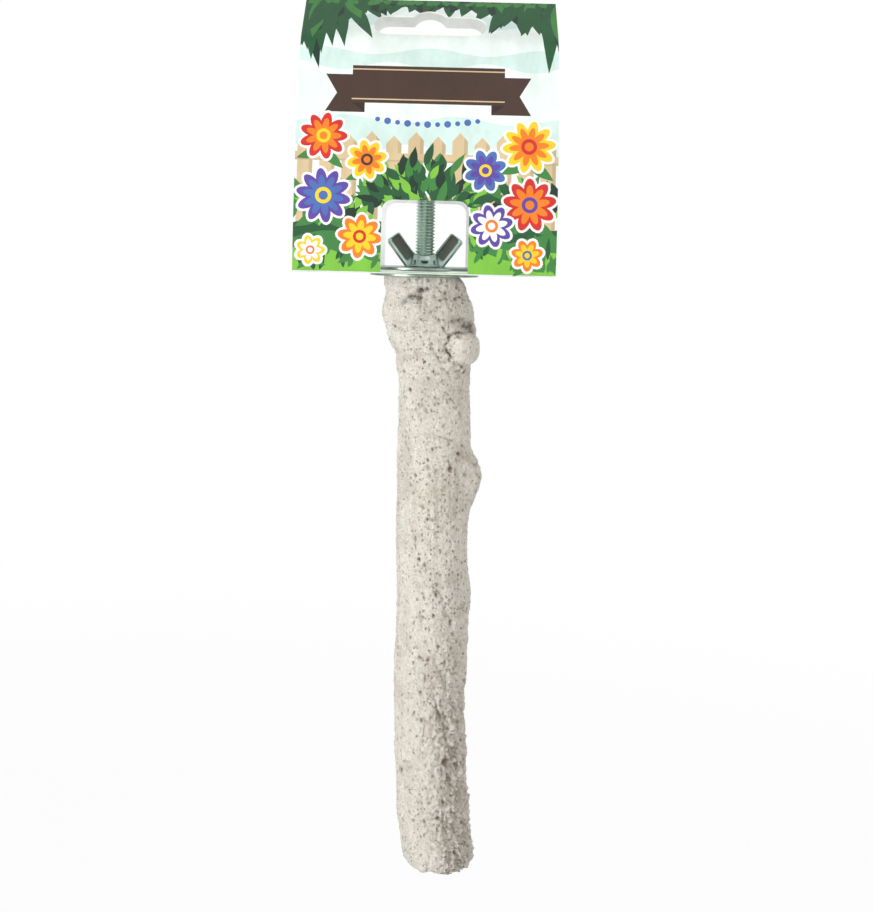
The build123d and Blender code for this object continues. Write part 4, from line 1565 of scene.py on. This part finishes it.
def white_floor(level):
    """A pale floor under the object that keeps its shadow."""
    made = bpy.data.materials.new("studio_floor")
    nodes = empty_nodes(made)
    matt = nodes.add("ShaderNodeBsdfDiffuse", {"Color": (0.86, 0.86, 0.86, 1.0)})[0]
    glow = nodes.add("ShaderNodeEmission", {"Color": (1.0, 1.0, 1.0, 1.0), "Strength": 1.0})[0]
    away = nodes.add("ShaderNodeVectorMath", {0: nodes.place()}, operation="LENGTH")["Value"]
    white = nodes.remap(away, 0.3, 0.7, 0.9, 1.0)
    veil = nodes.add("ShaderNodeMixShader", {0: white, 1: matt, 2: glow})[0]
    nodes.add("ShaderNodeOutputMaterial", {0: light_only(nodes, veil, matt)})
    corners = [(x, y, level) for x, y in block(-STAGE_HALF, STAGE_HALF, -STAGE_HALF, STAGE_HALF)]
    place_mesh("floor", new_mesh("floor", corners, [(0, 1, 2, 3)], made))


def soft_lamp(name, place, power, size, tint):
    """A square area lamp aimed at the branch's upper part."""
    data = bpy.data.lights.new(name, "AREA")
    data.energy = power
    data.size = size
    data.color = tint
    lamp = bpy.data.objects.new(name, data)
    lamp.location = place
    lamp.rotation_euler = (Vector(LAMP_AIM) - Vector(place)).to_track_quat("-Z", "Y").to_euler()
    bpy.context.scene.collection.objects.link(lamp)


class PERCH_OT_stage(bpy.types.Operator):
    """Set the camera, the lamps, the floor and the white world"""

    bl_idname = "perch.stage"
    bl_label = "Stage"

    def execute(self, context):
        settings = context.scene.perch_stage
        data = bpy.data.cameras.new("camera")
        data.lens = settings.lens
        data.sensor_width = 36.0
        data.shift_y = settings.shift
        data.clip_start = 0.01
        data.clip_end = 50.0
        camera = bpy.data.objects.new("camera", data)
        place = Matrix.Translation((settings.aside, -settings.distance, settings.height))
        upright = Matrix.Rotation(math.radians(90), 4, "X")
        camera.matrix_world = place @ upright @ Matrix.Rotation(settings.roll, 4, "Z")
        context.scene.collection.objects.link(camera)
        context.scene.camera = camera
        white_world(settings.sky)
        white_floor(CAD_BOX[0][2] - settings.floor_drop)
        for name, place, size, tint in LAMPS:
            soft_lamp(name, place, getattr(settings, f"{name}_power"), size, tint)
        context.scene.view_settings.view_transform = "Standard"
        return {"FINISHED"}


class PERCH_PT_panel(bpy.types.Panel):
    """Lists the perch's pieces and their settings"""

    bl_idname = "PERCH_PT_panel"
    bl_label = "Bird Perch"
    bl_space_type = "VIEW_3D"
    bl_region_type = "UI"
    bl_category = "Perch"

    def draw(self, context):
        layout = self.layout
        for operator in OPERATORS:
            layout.operator(operator.bl_idname)
        for name, group in SETTINGS.items():
            box = layout.box()
            for item in group.__annotations__:
                box.prop(getattr(context.scene, name), item)


SETTINGS = {
    "perch_branch": PerchBranchSettings,
    "perch_hardware": PerchHardwareSettings,
    "perch_card": PerchCardSettings,
    "perch_stage": PerchStageSettings,
}
OPERATORS = [
    PERCH_OT_branch,
    PERCH_OT_stud,
    PERCH_OT_washers,
    PERCH_OT_wing_nut,
    PERCH_OT_card,
    PERCH_OT_stage,
]
CLASSES = list(SETTINGS.values()) + OPERATORS + [PERCH_PT_panel]


def register():
    """Register the classes and hang the settings on the scene."""
    for made in CLASSES:
        bpy.utils.register_class(made)
    for name, group in SETTINGS.items():
        setattr(bpy.types.Scene, name, bpy.props.PointerProperty(type=group))


def unregister():
    """Take everything back."""
    for name in SETTINGS:
        delattr(bpy.types.Scene, name)
    for made in reversed(CLASSES):
        bpy.utils.unregister_class(made)


def main():
    """Make every piece and the stage."""
    register()
    bpy.ops.perch.branch()
    bpy.ops.perch.stud()
    bpy.ops.perch.washers()
    bpy.ops.perch.wing_nut()
    bpy.ops.perch.card()
    bpy.ops.perch.stage()


if __name__ == "__main__":
    main()
